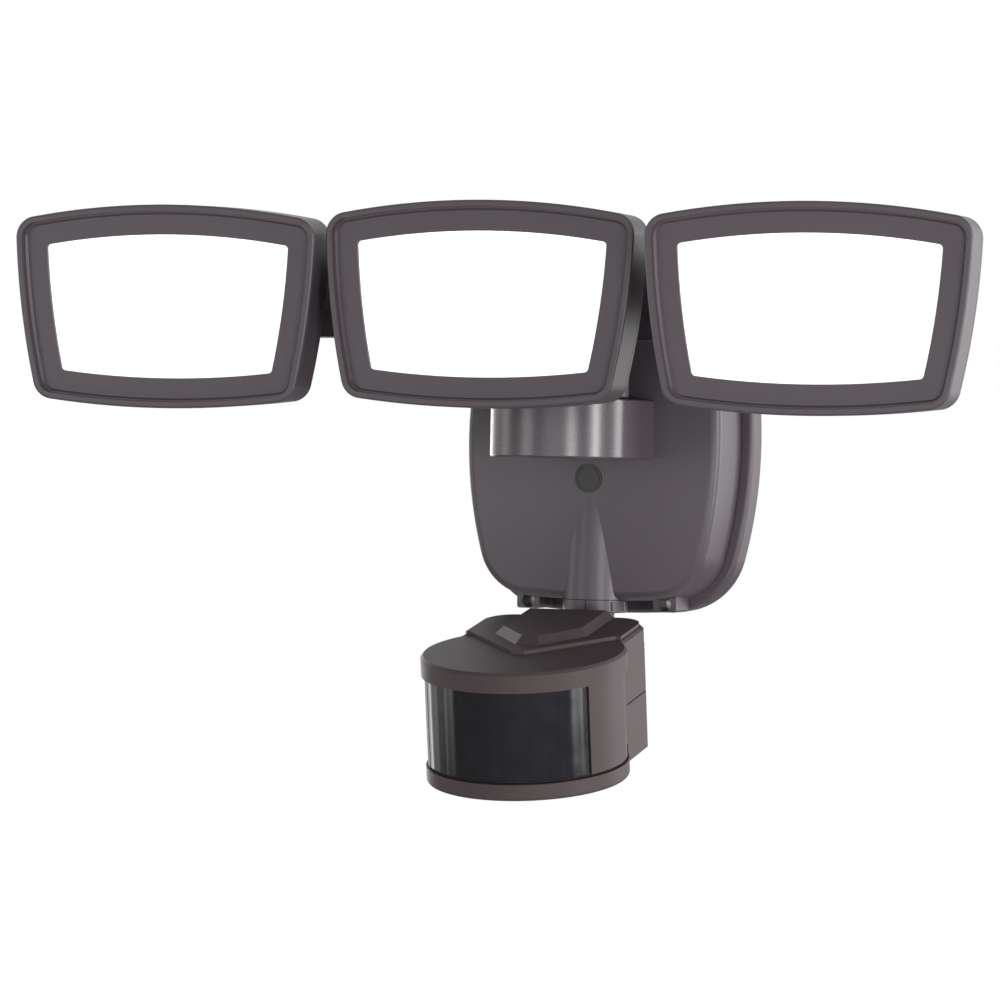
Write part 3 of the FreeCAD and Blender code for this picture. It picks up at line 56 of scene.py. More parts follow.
class Groups:
    """The shader node groups that several finishes share, each built once."""

    def __init__(self) -> None:
        """Build every group."""
        self.grain = self._grain()
        self.drift = self._drift()
        self.dust = self._dust()

    @staticmethod
    def _new(name: str, inputs: list[tuple[str, str, float]],
             outputs: list[tuple[str, str]]) -> bpy.types.NodeTree:
        """Make an empty group with its sockets.

        Args:
            name: The group's name.
            inputs: Name and type of each input, and its default value where it is a number.
            outputs: Socket name and socket type of each output.

        Returns:
            The node tree, with its Group Input and Group Output nodes in place.
        """
        tree = bpy.data.node_groups.new(name, "ShaderNodeTree")
        for label, kind, value in inputs:
            socket = tree.interface.new_socket(name=label, in_out="INPUT", socket_type=kind)
            if kind == "NodeSocketFloat":
                socket.default_value = value
        for label, kind in outputs:
            tree.interface.new_socket(name=label, in_out="OUTPUT", socket_type=kind)
        tree.nodes.new("NodeGroupInput").name = "in"
        tree.nodes.new("NodeGroupOutput").name = "out"
        return tree

    def _grain(self) -> bpy.types.NodeTree:
        """Build the fine orange-peel texture of powder paint and moulded plastic.

        Returns:
            A group with Vector, Scale and Depth in, and Normal and Mask out.
        """
        tree = self._new("surface_grain",
                         [("Vector", "NodeSocketVector", 0.0), ("Scale", "NodeSocketFloat", 1500.0),
                          ("Depth", "NodeSocketFloat", 0.1)],
                         [("Normal", "NodeSocketVector"), ("Mask", "NodeSocketFloat")])
        source, sink = tree.nodes["in"], tree.nodes["out"]
        fine = tree.nodes.new("ShaderNodeTexNoise")
        fine.inputs["Detail"].default_value = 3.0
        fine.inputs["Roughness"].default_value = 0.6
        bump = tree.nodes.new("ShaderNodeBump")
        bump.inputs["Distance"].default_value = 0.2 * MM
        tree.links.new(source.outputs["Vector"], fine.inputs["Vector"])
        tree.links.new(source.outputs["Scale"], fine.inputs["Scale"])
        tree.links.new(source.outputs["Depth"], bump.inputs["Strength"])
        tree.links.new(fine.outputs["Fac"], bump.inputs["Height"])
        tree.links.new(bump.outputs["Normal"], sink.inputs["Normal"])
        tree.links.new(fine.outputs["Fac"], sink.inputs["Mask"])
        return tree

    def _drift(self) -> bpy.types.NodeTree:
        """Build the slow change of tone over a sprayed or moulded surface.

        Returns:
            A group with Vector, Colour, Scale and Amount in, and Colour out.
        """
        tree = self._new("tone_drift",
                         [("Vector", "NodeSocketVector", 0.0), ("Colour", "NodeSocketColor", 0.0),
                          ("Scale", "NodeSocketFloat", 25.0), ("Amount", "NodeSocketFloat", 0.1)],
                         [("Colour", "NodeSocketColor")])
        source, sink = tree.nodes["in"], tree.nodes["out"]
        cloud = tree.nodes.new("ShaderNodeTexNoise")
        cloud.inputs["Detail"].default_value = 4.0
        centre = tree.nodes.new("ShaderNodeMath")
        centre.operation = "SUBTRACT"
        centre.inputs[1].default_value = 0.5
        scaled = tree.nodes.new("ShaderNodeMath")
        scaled.operation = "MULTIPLY_ADD"
        scaled.inputs[2].default_value = 1.0
        tone = tree.nodes.new("ShaderNodeVectorMath")
        tone.operation = "SCALE"
        tree.links.new(source.outputs["Vector"], cloud.inputs["Vector"])
        tree.links.new(source.outputs["Scale"], cloud.inputs["Scale"])
        tree.links.new(cloud.outputs["Fac"], centre.inputs[0])
        tree.links.new(centre.outputs[0], scaled.inputs[0])
        tree.links.new(source.outputs["Amount"], scaled.inputs[1])
        tree.links.new(source.outputs["Colour"], tone.inputs[0])
        tree.links.new(scaled.outputs[0], tone.inputs["Scale"])
        tree.links.new(tone.outputs["Vector"], sink.inputs["Colour"])
        return tree

    def _dust(self) -> bpy.types.NodeTree:
        """Build the mask of faint dust that settles on faces turned upwards.

        Returns:
            A group with Vector and Amount in, and Mask out.
        """
        tree = self._new("settled_dust",
                         [("Vector", "NodeSocketVector", 0.0), ("Amount", "NodeSocketFloat", 0.1)],
                         [("Mask", "NodeSocketFloat")])
        source, sink = tree.nodes["in"], tree.nodes["out"]
        geometry = tree.nodes.new("ShaderNodeNewGeometry")
        split = tree.nodes.new("ShaderNodeSeparateXYZ")
        facing = tree.nodes.new("ShaderNodeMapRange")
        facing.inputs["From Min"].default_value = 0.3
        facing.inputs["From Max"].default_value = 1.0
        speck = tree.nodes.new("ShaderNodeTexNoise")
        speck.inputs["Scale"].default_value = 320.0
        speck.inputs["Detail"].default_value = 6.0
        both = tree.nodes.new("ShaderNodeMath")
        both.operation = "MULTIPLY"
        share = tree.nodes.new("ShaderNodeMath")
        share.operation = "MULTIPLY"
        tree.links.new(geometry.outputs["Normal"], split.inputs[0])
        tree.links.new(split.outputs["Z"], facing.inputs["Value"])
        tree.links.new(source.outputs["Vector"], speck.inputs["Vector"])
        tree.links.new(facing.outputs["Result"], both.inputs[0])
        tree.links.new(speck.outputs["Fac"], both.inputs[1])
        tree.links.new(both.outputs[0], share.inputs[0])
        tree.links.new(source.outputs["Amount"], share.inputs[1])
        tree.links.new(share.outputs[0], sink.inputs["Mask"])
        return tree


GROUPS = Groups()


# ------------------------------------------------------------------ finishes

class Tone(Enum):
    """Linear colours of the light's own materials."""

    BRONZE = (0.057, 0.045, 0.054)
    BRONZE_BROWN = (0.054, 0.040, 0.042)
    JOINT_BLACK = (0.016, 0.015, 0.016)
    RUBBER_BLACK = (0.012, 0.012, 0.012)
    PLUG_GREY = (0.014, 0.012, 0.013)
    ZINC = (0.56, 0.56, 0.54)
    SMOKE = (0.012, 0.012, 0.015)
    OPAL = (0.86, 0.86, 0.90)
    LIT_WHITE = (1.0, 1.0, 1.0)
    LIT_VIOLET = (0.62, 0.60, 0.92)
    WHITE = (0.80, 0.80, 0.78)
    WHITE_TRACK = (0.70, 0.70, 0.66)
    PHOSPHOR = (0.85, 0.62, 0.08)
    GREEN = (0.020, 0.120, 0.045)
    COPPER_GREEN = (0.045, 0.200, 0.080)
    DUST = (0.30, 0.28, 0.26)
    FLOOR = (0.80, 0.80, 0.80)

    @property
    def rgba(self) -> tuple[float, float, float, float]:
        """The colour with full opacity, as a socket takes it."""
        return (*self.value, 1.0)


class Sheet:
    """A material being wired: its tree, its Principled shader and its object coordinates."""

    def __init__(self, name: str) -> None:
        """Start a material.

        Args:
            name: The material's name.
        """
        self.material = bpy.data.materials.new(name)
        self.material.use_nodes = True
        self.tree = self.material.node_tree
        self.shader = self.tree.nodes["Principled BSDF"]
        self.place = self.tree.nodes.new("ShaderNodeTexCoord").outputs["Object"]

    def node(self, kind: str, **settings: object) -> bpy.types.Node:
        """Add a node and set its plain properties.

        Args:
            kind: The node's type name.
            **settings: Properties of the node and their values.

        Returns:
            The new node.
        """
        made = self.tree.nodes.new(kind)
        for key, value in settings.items():
            setattr(made, key, value)
        return made

    def group(self, tree: bpy.types.NodeTree, **values: float) -> bpy.types.Node:
        """Place a shared group fed by the object coordinates.

        Args:
            tree: The group.
            **values: Input socket names and their values.

        Returns:
            The group node.
        """
        made = self.node("ShaderNodeGroup", node_tree=tree)
        for key, value in values.items():
            made.inputs[key].default_value = value
        self.link(self.place, made.inputs["Vector"])
        return made

    def link(self, output: bpy.types.NodeSocket, target: bpy.types.NodeSocket) -> None:
        """Join two sockets."""
        self.tree.links.new(output, target)

    def local(self, centre: Vector, turn: tuple[float, float, float]) -> bpy.types.NodeSocket:
        """Coordinates centred and squared on a turned piece.

        Args:
            centre: The piece's own origin in the frame.
            turn: The piece's rotation in radians about X, Y and Z.

        Returns:
            The socket that carries the piece's own coordinates.
        """
        mapping = self.node("ShaderNodeMapping", vector_type="TEXTURE")
        mapping.inputs["Location"].default_value = centre
        mapping.inputs["Rotation"].default_value = turn
        self.link(self.place, mapping.inputs["Vector"])
        return mapping.outputs["Vector"]

    def calc(self, operation: str, first: bpy.types.NodeSocket,
             second: float = 0.0) -> bpy.types.NodeSocket:
        """Add a Math node.

        Args:
            operation: The node's operation.
            first: The first operand's socket.
            second: The second operand, where the operation takes one.

        Returns:
            The socket of the result.
        """
        made = self.node("ShaderNodeMath", operation=operation)
        made.inputs[1].default_value = second
        self.link(first, made.inputs[0])
        return made.outputs[0]

    def blend(self, share: bpy.types.NodeSocket, low: Tone, high: Tone) -> bpy.types.Node:
        """Mix two colours.

        Args:
            share: The socket with the second colour's share.
            low: The colour at 0.
            high: The colour at 1.

        Returns:
            The Mix node, with its result in Result.
        """
        mix = self.node("ShaderNodeMix", data_type="RGBA")
        mix.inputs["A"].default_value = low.rgba
        mix.inputs["B"].default_value = high.rgba
        self.link(share, mix.inputs["Factor"])
        return mix

    def tone(self, colour: Tone, amount: float, scale: float) -> bpy.types.NodeSocket:
        """Let a colour wander slowly over the surface.

        Args:
            colour: The mean colour.
            amount: Share by which it wanders.
            scale: Frequency of the change per metre.

        Returns:
            The socket of the colour.
        """
        drift = self.group(GROUPS.drift, Amount=amount, Scale=scale)
        drift.inputs["Colour"].default_value = colour.rgba
        return drift.outputs["Colour"]

    def relief(self, scale: float, depth: float) -> bpy.types.NodeSocket:
        """Give the surface its fine grain.

        Args:
            scale: Grain frequency per metre.
            depth: Strength of the grain.

        Returns:
            The socket of the grain's mask.
        """
        grain = self.group(GROUPS.grain, Scale=scale, Depth=depth)
        self.link(grain.outputs["Normal"], self.shader.inputs["Normal"])
        return grain.outputs["Mask"]

    def haze(self, scale: float) -> bpy.types.NodeSocket:
        """Lay fine clouds over the surface.

        Args:
            scale: Their frequency per metre.

        Returns:
            The socket of their value.
        """
        clouds = self.node("ShaderNodeTexNoise")
        clouds.inputs["Scale"].default_value = scale
        clouds.inputs["Detail"].default_value = 5.0
        self.link(self.place, clouds.inputs["Vector"])
        return clouds.outputs["Fac"]

    def gloss(self, mask: bpy.types.NodeSocket, low: float, high: float) -> None:
        """Let the roughness follow a mask.

        Args:
            mask: The mask's socket.
            low: Roughness where the mask is 0.
            high: Roughness where the mask is 1.
        """
        spread = self.node("ShaderNodeMapRange")
        spread.inputs["To Min"].default_value = low
        spread.inputs["To Max"].default_value = high
        self.link(mask, spread.inputs["Value"])
        self.link(spread.outputs["Result"], self.shader.inputs["Roughness"])


@dataclass(frozen=True)
class Coating:
    """Paint, rubber or moulded plastic: a tone, a gloss and a fine surface grain.

    Attributes:
        name: The material's name.
        colour: Its base colour.
        rough: Roughness of the clean surface.
        grain: Grain frequency per metre.
        depth: Strength of the grain.
        drift: Share by which the tone wanders.
        patches: Frequency of the tone's change per metre.
        dust: Share of dust on faces turned up.
        sheen: Specular level.
        smoother: How far the grain lowers the roughness.
        rougher: How far the grain raises it.
    """

    name: str
    colour: Tone
    rough: float = 0.45
    grain: float = 1700.0
    depth: float = 0.12
    drift: float = 0.14
    patches: float = 28.0
    dust: float = 0.12
    sheen: float = 0.5
    smoother: float = 0.06
    rougher: float = 0.08

    def build(self) -> bpy.types.Material:
        """Wire the material.

        Returns:
            The finished material.
        """
        sheet = Sheet(self.name)
        dust = sheet.group(GROUPS.dust, Amount=self.dust)
        mix = sheet.blend(dust.outputs["Mask"], self.colour, Tone.DUST)
        sheet.link(sheet.tone(self.colour, self.drift, self.patches), mix.inputs["A"])
        sheet.link(mix.outputs["Result"], sheet.shader.inputs["Base Color"])
        mask = sheet.relief(self.grain, self.depth)
        sheet.gloss(mask, self.rough - self.smoother, self.rough + self.rougher)
        sheet.shader.inputs["Specular IOR Level"].default_value = self.sheen
        return sheet.material


@dataclass(frozen=True)
class PlatedSteel:
    """Zinc-plated steel with a mottled gloss.

    Attributes:
        name: The material's name.
        rough: Mean roughness.
        smoother: How far the mottling lowers the roughness.
        rougher: How far the mottling raises it.
    """

    name: str
    rough: float = 0.32
    smoother: float = 0.10
    rougher: float = 0.12

    def build(self) -> bpy.types.Material:
        """Wire the material.

        Returns:
            The finished material.
        """
        sheet = Sheet(self.name)
        sheet.link(sheet.tone(Tone.ZINC, amount=0.25, scale=260.0), sheet.shader.inputs["Base Color"])
        sheet.gloss(sheet.haze(900.0), self.rough - self.smoother, self.rough + self.rougher)
        sheet.relief(scale=3000.0, depth=0.05)
        sheet.shader.inputs["Metallic"].default_value = 1.0
        return sheet.material


@dataclass(frozen=True)
class OpalPanel:
    """The lit diffusing panel of one lamp head, a little violet towards its corners.

    Attributes:
        name: The material's name.
        centre: The panel's centre in the frame.
        turn: The head's rest rotation in radians.
        half_width: Half the panel's width.
        half_height: Half the panel's height.
        glow: Strength of its light.
        steepness: How close to the edges the violet keeps.
    """

    name: str
    centre: Vector
    turn: tuple[float, float, float]
    half_width: float = 52.0 * MM
    half_height: float = 29.0 * MM
    glow: float = 0.72
    steepness: float = 6.0

    def build(self) -> bpy.types.Material:
        """Wire the material.

        Returns:
            The finished material.
        """
        sheet = Sheet(self.name)
        split = sheet.node("ShaderNodeSeparateXYZ")
        sheet.link(sheet.local(self.centre, self.turn), split.inputs[0])
        corner = sheet.node("ShaderNodeMath", operation="MULTIPLY")
        for index, (axis, half) in enumerate((("X", self.half_width), ("Z", self.half_height))):
            share = sheet.calc("ABSOLUTE", sheet.calc("DIVIDE", split.outputs[axis], half))
            sheet.link(sheet.calc("POWER", share, self.steepness), corner.inputs[index])
        light = sheet.blend(corner.outputs[0], Tone.LIT_WHITE, Tone.LIT_VIOLET)
        sheet.link(light.outputs["Result"], sheet.shader.inputs["Emission Color"])
        sheet.shader.inputs["Emission Strength"].default_value = self.glow
        sheet.shader.inputs["Base Color"].default_value = Tone.OPAL.rgba
        sheet.gloss(sheet.relief(scale=900.0, depth=0.06), low=0.25, high=0.40)
        return sheet.material


@dataclass(frozen=True)
class SmokedWindow:
    """The dark infrared window, ribbed upright on its inside like a fine lens.

    Attributes:
        name: The material's name.
        centre: The drum's centre in the frame.
        turn: The sensor's rest rotation in radians.
        facets: Upright facets in a full turn.
        ribbing: Strength of the facets.
        sheen: Specular level.
    """

    name: str
    centre: Vector
    turn: tuple[float, float, float]
    facets: float = 46.0
    ribbing: float = 0.18
    sheen: float = 0.4

    def build(self) -> bpy.types.Material:
        """Wire the material.

        Returns:
            The finished material.
        """
        sheet = Sheet(self.name)
        split = sheet.node("ShaderNodeSeparateXYZ")
        sheet.link(sheet.local(self.centre, self.turn), split.inputs[0])
        angle = sheet.node("ShaderNodeMath", operation="ARCTAN2")
        sheet.link(split.outputs["X"], angle.inputs[0])
        sheet.link(split.outputs["Y"], angle.inputs[1])
        bump = sheet.node("ShaderNodeBump")
        bump.inputs["Strength"].default_value = self.ribbing
        bump.inputs["Distance"].default_value = 0.2 * MM
        turns = sheet.calc("MULTIPLY", angle.outputs[0], self.facets)
        sheet.link(sheet.calc("SINE", turns), bump.inputs["Height"])
        sheet.link(bump.outputs["Normal"], sheet.shader.inputs["Normal"])
        sheet.link(sheet.tone(Tone.SMOKE, amount=0.3, scale=60.0), sheet.shader.inputs["Base Color"])
        sheet.gloss(sheet.haze(140.0), low=0.10, high=0.26)
        sheet.shader.inputs["Specular IOR Level"].default_value = self.sheen
        return sheet.material


@dataclass(frozen=True)
class CircuitBoard:
    """A lacquered board with printed tracks.

    Attributes:
        name: The material's name.
        lacquer: Colour of the solder mask.
        track: Colour of the tracks under it.
        pitch: Cells of the track pattern per metre.
        edge: Distance from a cell's middle at which its track begins.
        rough: Roughness of the lacquer.
    """

    name: str
    lacquer: Tone
    track: Tone
    pitch: float = 180.0
    edge: float = 0.42
    rough: float = 0.3

    def build(self) -> bpy.types.Material:
        """Wire the material.

        Returns:
            The finished material.
        """
        sheet = Sheet(self.name)
        cells = sheet.node("ShaderNodeTexVoronoi", feature="F1", distance="CHEBYCHEV")
        cells.inputs["Scale"].default_value = self.pitch
        sheet.link(sheet.place, cells.inputs["Vector"])
        share = sheet.calc("GREATER_THAN", cells.outputs["Distance"], self.edge)
        mix = sheet.blend(share, self.lacquer, self.track)
        sheet.link(mix.outputs["Result"], sheet.shader.inputs["Base Color"])
        sheet.relief(scale=2400.0, depth=0.06)
        sheet.shader.inputs["Roughness"].default_value = self.rough
        return sheet.material


# ------------------------------------------------------------------ repeating pieces

class ArcPattern:
    """Geometry nodes that set small blocks along an arc in the XY plane."""

    def __init__(self) -> None:
        """Build the tree with its named inputs."""
        self.tree = bpy.data.node_groups.new("arc_pattern", "GeometryNodeTree")
        tree = self.tree
        tree.interface.new_socket(name="Geometry", in_out="OUTPUT", socket_type="NodeSocketGeometry")
        tree.interface.new_socket(name="Geometry", in_out="INPUT", socket_type="NodeSocketGeometry")
        for label, kind in (("Count", "NodeSocketInt"), ("Radius", "NodeSocketFloat"),
                            ("Sweep", "NodeSocketFloat"), ("Block", "NodeSocketVector"),
                            ("Material", "NodeSocketMaterial")):
            tree.interface.new_socket(name=label, in_out="INPUT", socket_type=kind)
        nodes, links = tree.nodes, tree.links
        source, sink = nodes.new("NodeGroupInput"), nodes.new("NodeGroupOutput")
        line = nodes.new("GeometryNodeMeshLine")
        index = nodes.new("GeometryNodeInputIndex")
        last = self._math("SUBTRACT", source.outputs["Count"], 1.0)
        share = self._math("DIVIDE", index.outputs[0], last.outputs[0])
        centred = self._math("SUBTRACT", share.outputs[0], 0.5)
        angle = self._math("MULTIPLY", centred.outputs[0], source.outputs["Sweep"])
        cosine = self._math("COSINE", angle.outputs[0])
        sine = self._math("SINE", angle.outputs[0])
        x = self._math("MULTIPLY", cosine.outputs[0], source.outputs["Radius"])
        y = self._math("MULTIPLY", sine.outputs[0], source.outputs["Radius"])
        spot, spin = nodes.new("ShaderNodeCombineXYZ"), nodes.new("ShaderNodeCombineXYZ")
        place = nodes.new("GeometryNodeSetPosition")
        cube = nodes.new("GeometryNodeMeshCube")
        instances = nodes.new("GeometryNodeInstanceOnPoints")
        realize = nodes.new("GeometryNodeRealizeInstances")
        paint = nodes.new("GeometryNodeSetMaterial")
        links.new(source.outputs["Count"], line.inputs["Count"])
        links.new(x.outputs[0], spot.inputs["X"])
        links.new(y.outputs[0], spot.inputs["Y"])
        links.new(angle.outputs[0], spin.inputs["Z"])
        links.new(line.outputs["Mesh"], place.inputs["Geometry"])
        links.new(spot.outputs[0], place.inputs["Position"])
        links.new(source.outputs["Block"], cube.inputs["Size"])
        links.new(place.outputs["Geometry"], instances.inputs["Points"])
        links.new(cube.outputs["Mesh"], instances.inputs["Instance"])
        links.new(spin.outputs[0], instances.inputs["Rotation"])
        links.new(instances.outputs["Instances"], realize.inputs["Geometry"])
        links.new(realize.outputs["Geometry"], paint.inputs["Geometry"])
        links.new(source.outputs["Material"], paint.inputs["Material"])
        links.new(paint.outputs["Geometry"], sink.inputs["Geometry"])

    def _math(self, operation: str, first: bpy.types.NodeSocket,
              second: bpy.types.NodeSocket | float | None = None) -> bpy.types.Node:
        """Add a Math node.

        Args:
            operation: The node's operation.
            first: The first operand's socket.
            second: The second operand, a socket or a number, where the operation takes one.

        Returns:
            The node.
        """
        node = self.tree.nodes.new("ShaderNodeMath")
        node.operation = operation
        self.tree.links.new(first, node.inputs[0])
        if isinstance(second, (int, float)):
            node.inputs[1].default_value = second
        elif second is not None:
            self.tree.links.new(second, node.inputs[1])
        return node

    def make(self, name: str, count: int, radius: float, sweep: float, block: tuple[float, float, float],
             material: bpy.types.Material, place: Matrix) -> bpy.types.Object:
        """Run the tree once and keep its result as a plain mesh.

        Args:
            name: The new piece's name.
            count: Number of blocks.
            radius: Radius of the arc in metres.
            sweep: Angle from the first block to the last, in radians.
            block: Size of a block along the radius, the arc and the axis.
            material: The blocks' material.
            place: Where the arc's centre goes in the frame.

        Returns:
            The finished piece at the origin, with its place in its mesh.
        """
        carrier = bpy.data.objects.new(name + "_source", bpy.data.meshes.new(name + "_source"))
        bpy.context.scene.collection.objects.link(carrier)
        modifier = carrier.modifiers.new("pattern", "NODES")
        modifier.node_group = self.tree
        values = {"Count": count, "Radius": radius, "Sweep": sweep, "Block": block, "Material": material}
        for item in self.tree.interface.items_tree:
            if item.in_out == "INPUT" and item.name in values:
                modifier[item.identifier] = values[item.name]
        carrier.update_tag()
        bpy.context.view_layer.update()
        graph = bpy.context.evaluated_depsgraph_get()
        mesh = bpy.data.meshes.new_from_object(carrier.evaluated_get(graph))
        mesh.transform(place)
        carrier.modifiers.remove(modifier)
        bpy.data.objects.remove(carrier)
        piece = bpy.data.objects.new(name, mesh)
        mesh.name = name
        bpy.context.scene.collection.objects.link(piece)
        log.info("%s: %s", name, material.name)
        return piece


# ------------------------------------------------------------------ sub-assemblies

def dress(node: str, material: bpy.types.Material) -> None:
    """Put one material on every face of a CAD node.

    Args:
        node: The node's name.
        material: Its finish.
    """
    mesh = frame["nodes"][node].data
    mesh.materials.clear()
    mesh.materials.append(material)
    log.info("%s: %s", node, material.name)


def joint_of(name: str) -> dict:
    """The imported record's entry for a joint.

    Args:
        name: The joint's name.

    Returns:
        Its entry, with pos_m and axis.
    """
    return next(j for j in frame["joints"] if j["name"] == name)


def axis_frame(joint: dict) -> Matrix:
    """A frame on a joint's axis, with its Z along the axis.

    Args:
        joint: The joint's entry.

    Returns:
        The matrix that takes a piece built round Z to the joint.
    """
    turn = Vector(joint["axis"]).to_track_quat("Z", "Y").to_matrix().to_4x4()
    return Matrix.Translation(Vector(joint["pos_m"])) @ turn


@dataclass
class Palette:
    """The finishes that several sub-assemblies share.

    Attributes:
        metal: Bronze paint of the castings.
        smooth: The same paint on the turned arm block.
        plastic: Bronze plastic of the sensor.
        black: Black of the knuckles, adjusters and driver.
        rubber: Seals and grommet.
        plug: The rubber plug in the cover.
        steel: Screws, bolts, nuts and strap.
        white: White mouldings.
        phosphor: The light-emitting chips.
        green_board: Driver and detector boards.
        white_board: Lamp boards.
    """

    metal: bpy.types.Material = field(init=False)
    smooth: bpy.types.Material = field(init=False)
    plastic: bpy.types.Material = field(init=False)
    black: bpy.types.Material = field(init=False)
    rubber: bpy.types.Material = field(init=False)
    plug: bpy.types.Material = field(init=False)
    steel: bpy.types.Material = field(init=False)
    white: bpy.types.Material = field(init=False)
    phosphor: bpy.types.Material = field(init=False)
    green_board: bpy.types.Material = field(init=False)
    white_board: bpy.types.Material = field(init=False)

    def __post_init__(self) -> None:
        """Build each material once."""
        self.metal = Coating("bronze_paint", Tone.BRONZE, rough=0.40, dust=0.02, sheen=0.4).build()
        self.smooth = Coating("turned_paint", Tone.BRONZE, rough=0.27, depth=0.07, dust=0.03,
                              sheen=0.45).build()
        self.plastic = Coating("bronze_plastic", Tone.BRONZE_BROWN, rough=0.5, grain=2300.0, dust=0.02,
                               sheen=0.2).build()
        self.black = Coating("joint_black", Tone.JOINT_BLACK, rough=0.48, dust=0.05).build()
        self.rubber = Coating("seal_rubber", Tone.RUBBER_BLACK, rough=0.7, grain=900.0, dust=0.03).build()
        self.plug = Coating("plug_rubber", Tone.PLUG_GREY, rough=0.5, grain=1200.0).build()
        self.steel = PlatedSteel("plated_steel").build()
        self.white = Coating("white_moulding", Tone.WHITE, rough=0.4, grain=1200.0, drift=0.04).build()
        self.phosphor = Coating("led_phosphor", Tone.PHOSPHOR, rough=0.25, grain=5000.0, dust=0.0).build()
        self.green_board = CircuitBoard("green_board", Tone.GREEN, Tone.COPPER_GREEN).build()
        self.white_board = CircuitBoard("white_board", Tone.WHITE, Tone.WHITE_TRACK).build()


@dataclass
class WallBox:
    """Back plate, front cover, seals, fixings and the driver inside.

    Attributes:
        palette: The shared finishes.
    """

    palette: Palette

    def build(self) -> None:
        """Dress every node of the wall box."""
        look = self.palette
        finishes = {
            "back_plate": look.metal, "front_cover": look.metal, "arm_block": look.smooth,
            "wall_gasket": look.rubber, "cover_seal": look.rubber, "wire_grommet": look.rubber,
            "centre_plug": look.plug, "mounting_strap": look.steel, "mounting_bolt": look.steel,
            "cover_screws": look.steel, "arm_screws": look.steel, "terminal_block": look.white,
            "driver_board": look.green_board, "driver_parts": look.black,
        }
        for node, material in finishes.items():
            dress(node, material)


@dataclass
class Crossbar:
    """The bar with its turret and the nut under it.

    Attributes:
        palette: The shared finishes.
    """

    palette: Palette

    def build(self) -> None:
        """Dress the bar and its nut."""
        dress("crossbar", self.palette.metal)
        dress("stem_nut", self.palette.steel)


@dataclass
class LampHead:
    """One lamp head with its knuckle and bolts.

    Attributes:
        side: left, middle or right.
        palette: The shared finishes.
        teeth: Detent teeth round each end of the tilt barrel.
        barrel: Radius of the knuckle's tilt barrel.
        tooth: Size of a tooth along the radius, the arc and the axis.
        reach: Distance of each ring of teeth from the middle of the barrel.
    """

    side: str
    palette: Palette
    teeth: int = 30
    barrel: float = 8.0 * MM
    tooth: tuple[float, float, float] = (0.5 * MM, 0.7 * MM, 1.4 * MM)
    reach: float = 8.1 * MM

    def build(self, patterns: ArcPattern) -> None:
        """Dress the head's nodes and add its detent teeth.

        Args:
            patterns: The tree that sets blocks on an arc.
        """
        look = self.palette
        finishes = {
            "housing": look.metal, "bezel": look.metal, "lens_seal": look.rubber, "reflector": look.white,
            "leds": look.phosphor, "led_board": look.white_board, "bezel_screws": look.steel,
            "tilt_bolt": look.steel, "swivel_bolt": look.steel, "knuckle": look.black,
        }
        for name, material in finishes.items():
            dress(f"{self.side}_{name}", material)
        low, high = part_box(f"{self.side}_lens")
        tilt = joint_of(f"{self.side}_head_tilt")
        turn = math.atan2(tilt["axis"][1], tilt["axis"][0])
        panel = OpalPanel(f"opal_{self.side}", (low + high) / 2, (0.0, 0.0, turn))
        dress(f"{self.side}_lens", panel.build())
        self._add_teeth(patterns, tilt)

    def _add_teeth(self, patterns: ArcPattern, tilt: dict) -> None:
        """Add a ring of teeth at each end of the tilt barrel.

        Args:
            patterns: The tree that sets blocks on an arc.
            tilt: The tilt joint's entry.
        """
        sweep = 2 * math.pi * (self.teeth - 1) / self.teeth
        for end, offset in (("inner", -self.reach), ("outer", self.reach)):
            place = axis_frame(tilt) @ Matrix.Translation((0, 0, offset))
            ring = patterns.make(f"{self.side}_detent_{end}", self.teeth, self.barrel, sweep, self.tooth,
                                 self.palette.black, place)
            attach(ring, f"{self.side}_link")


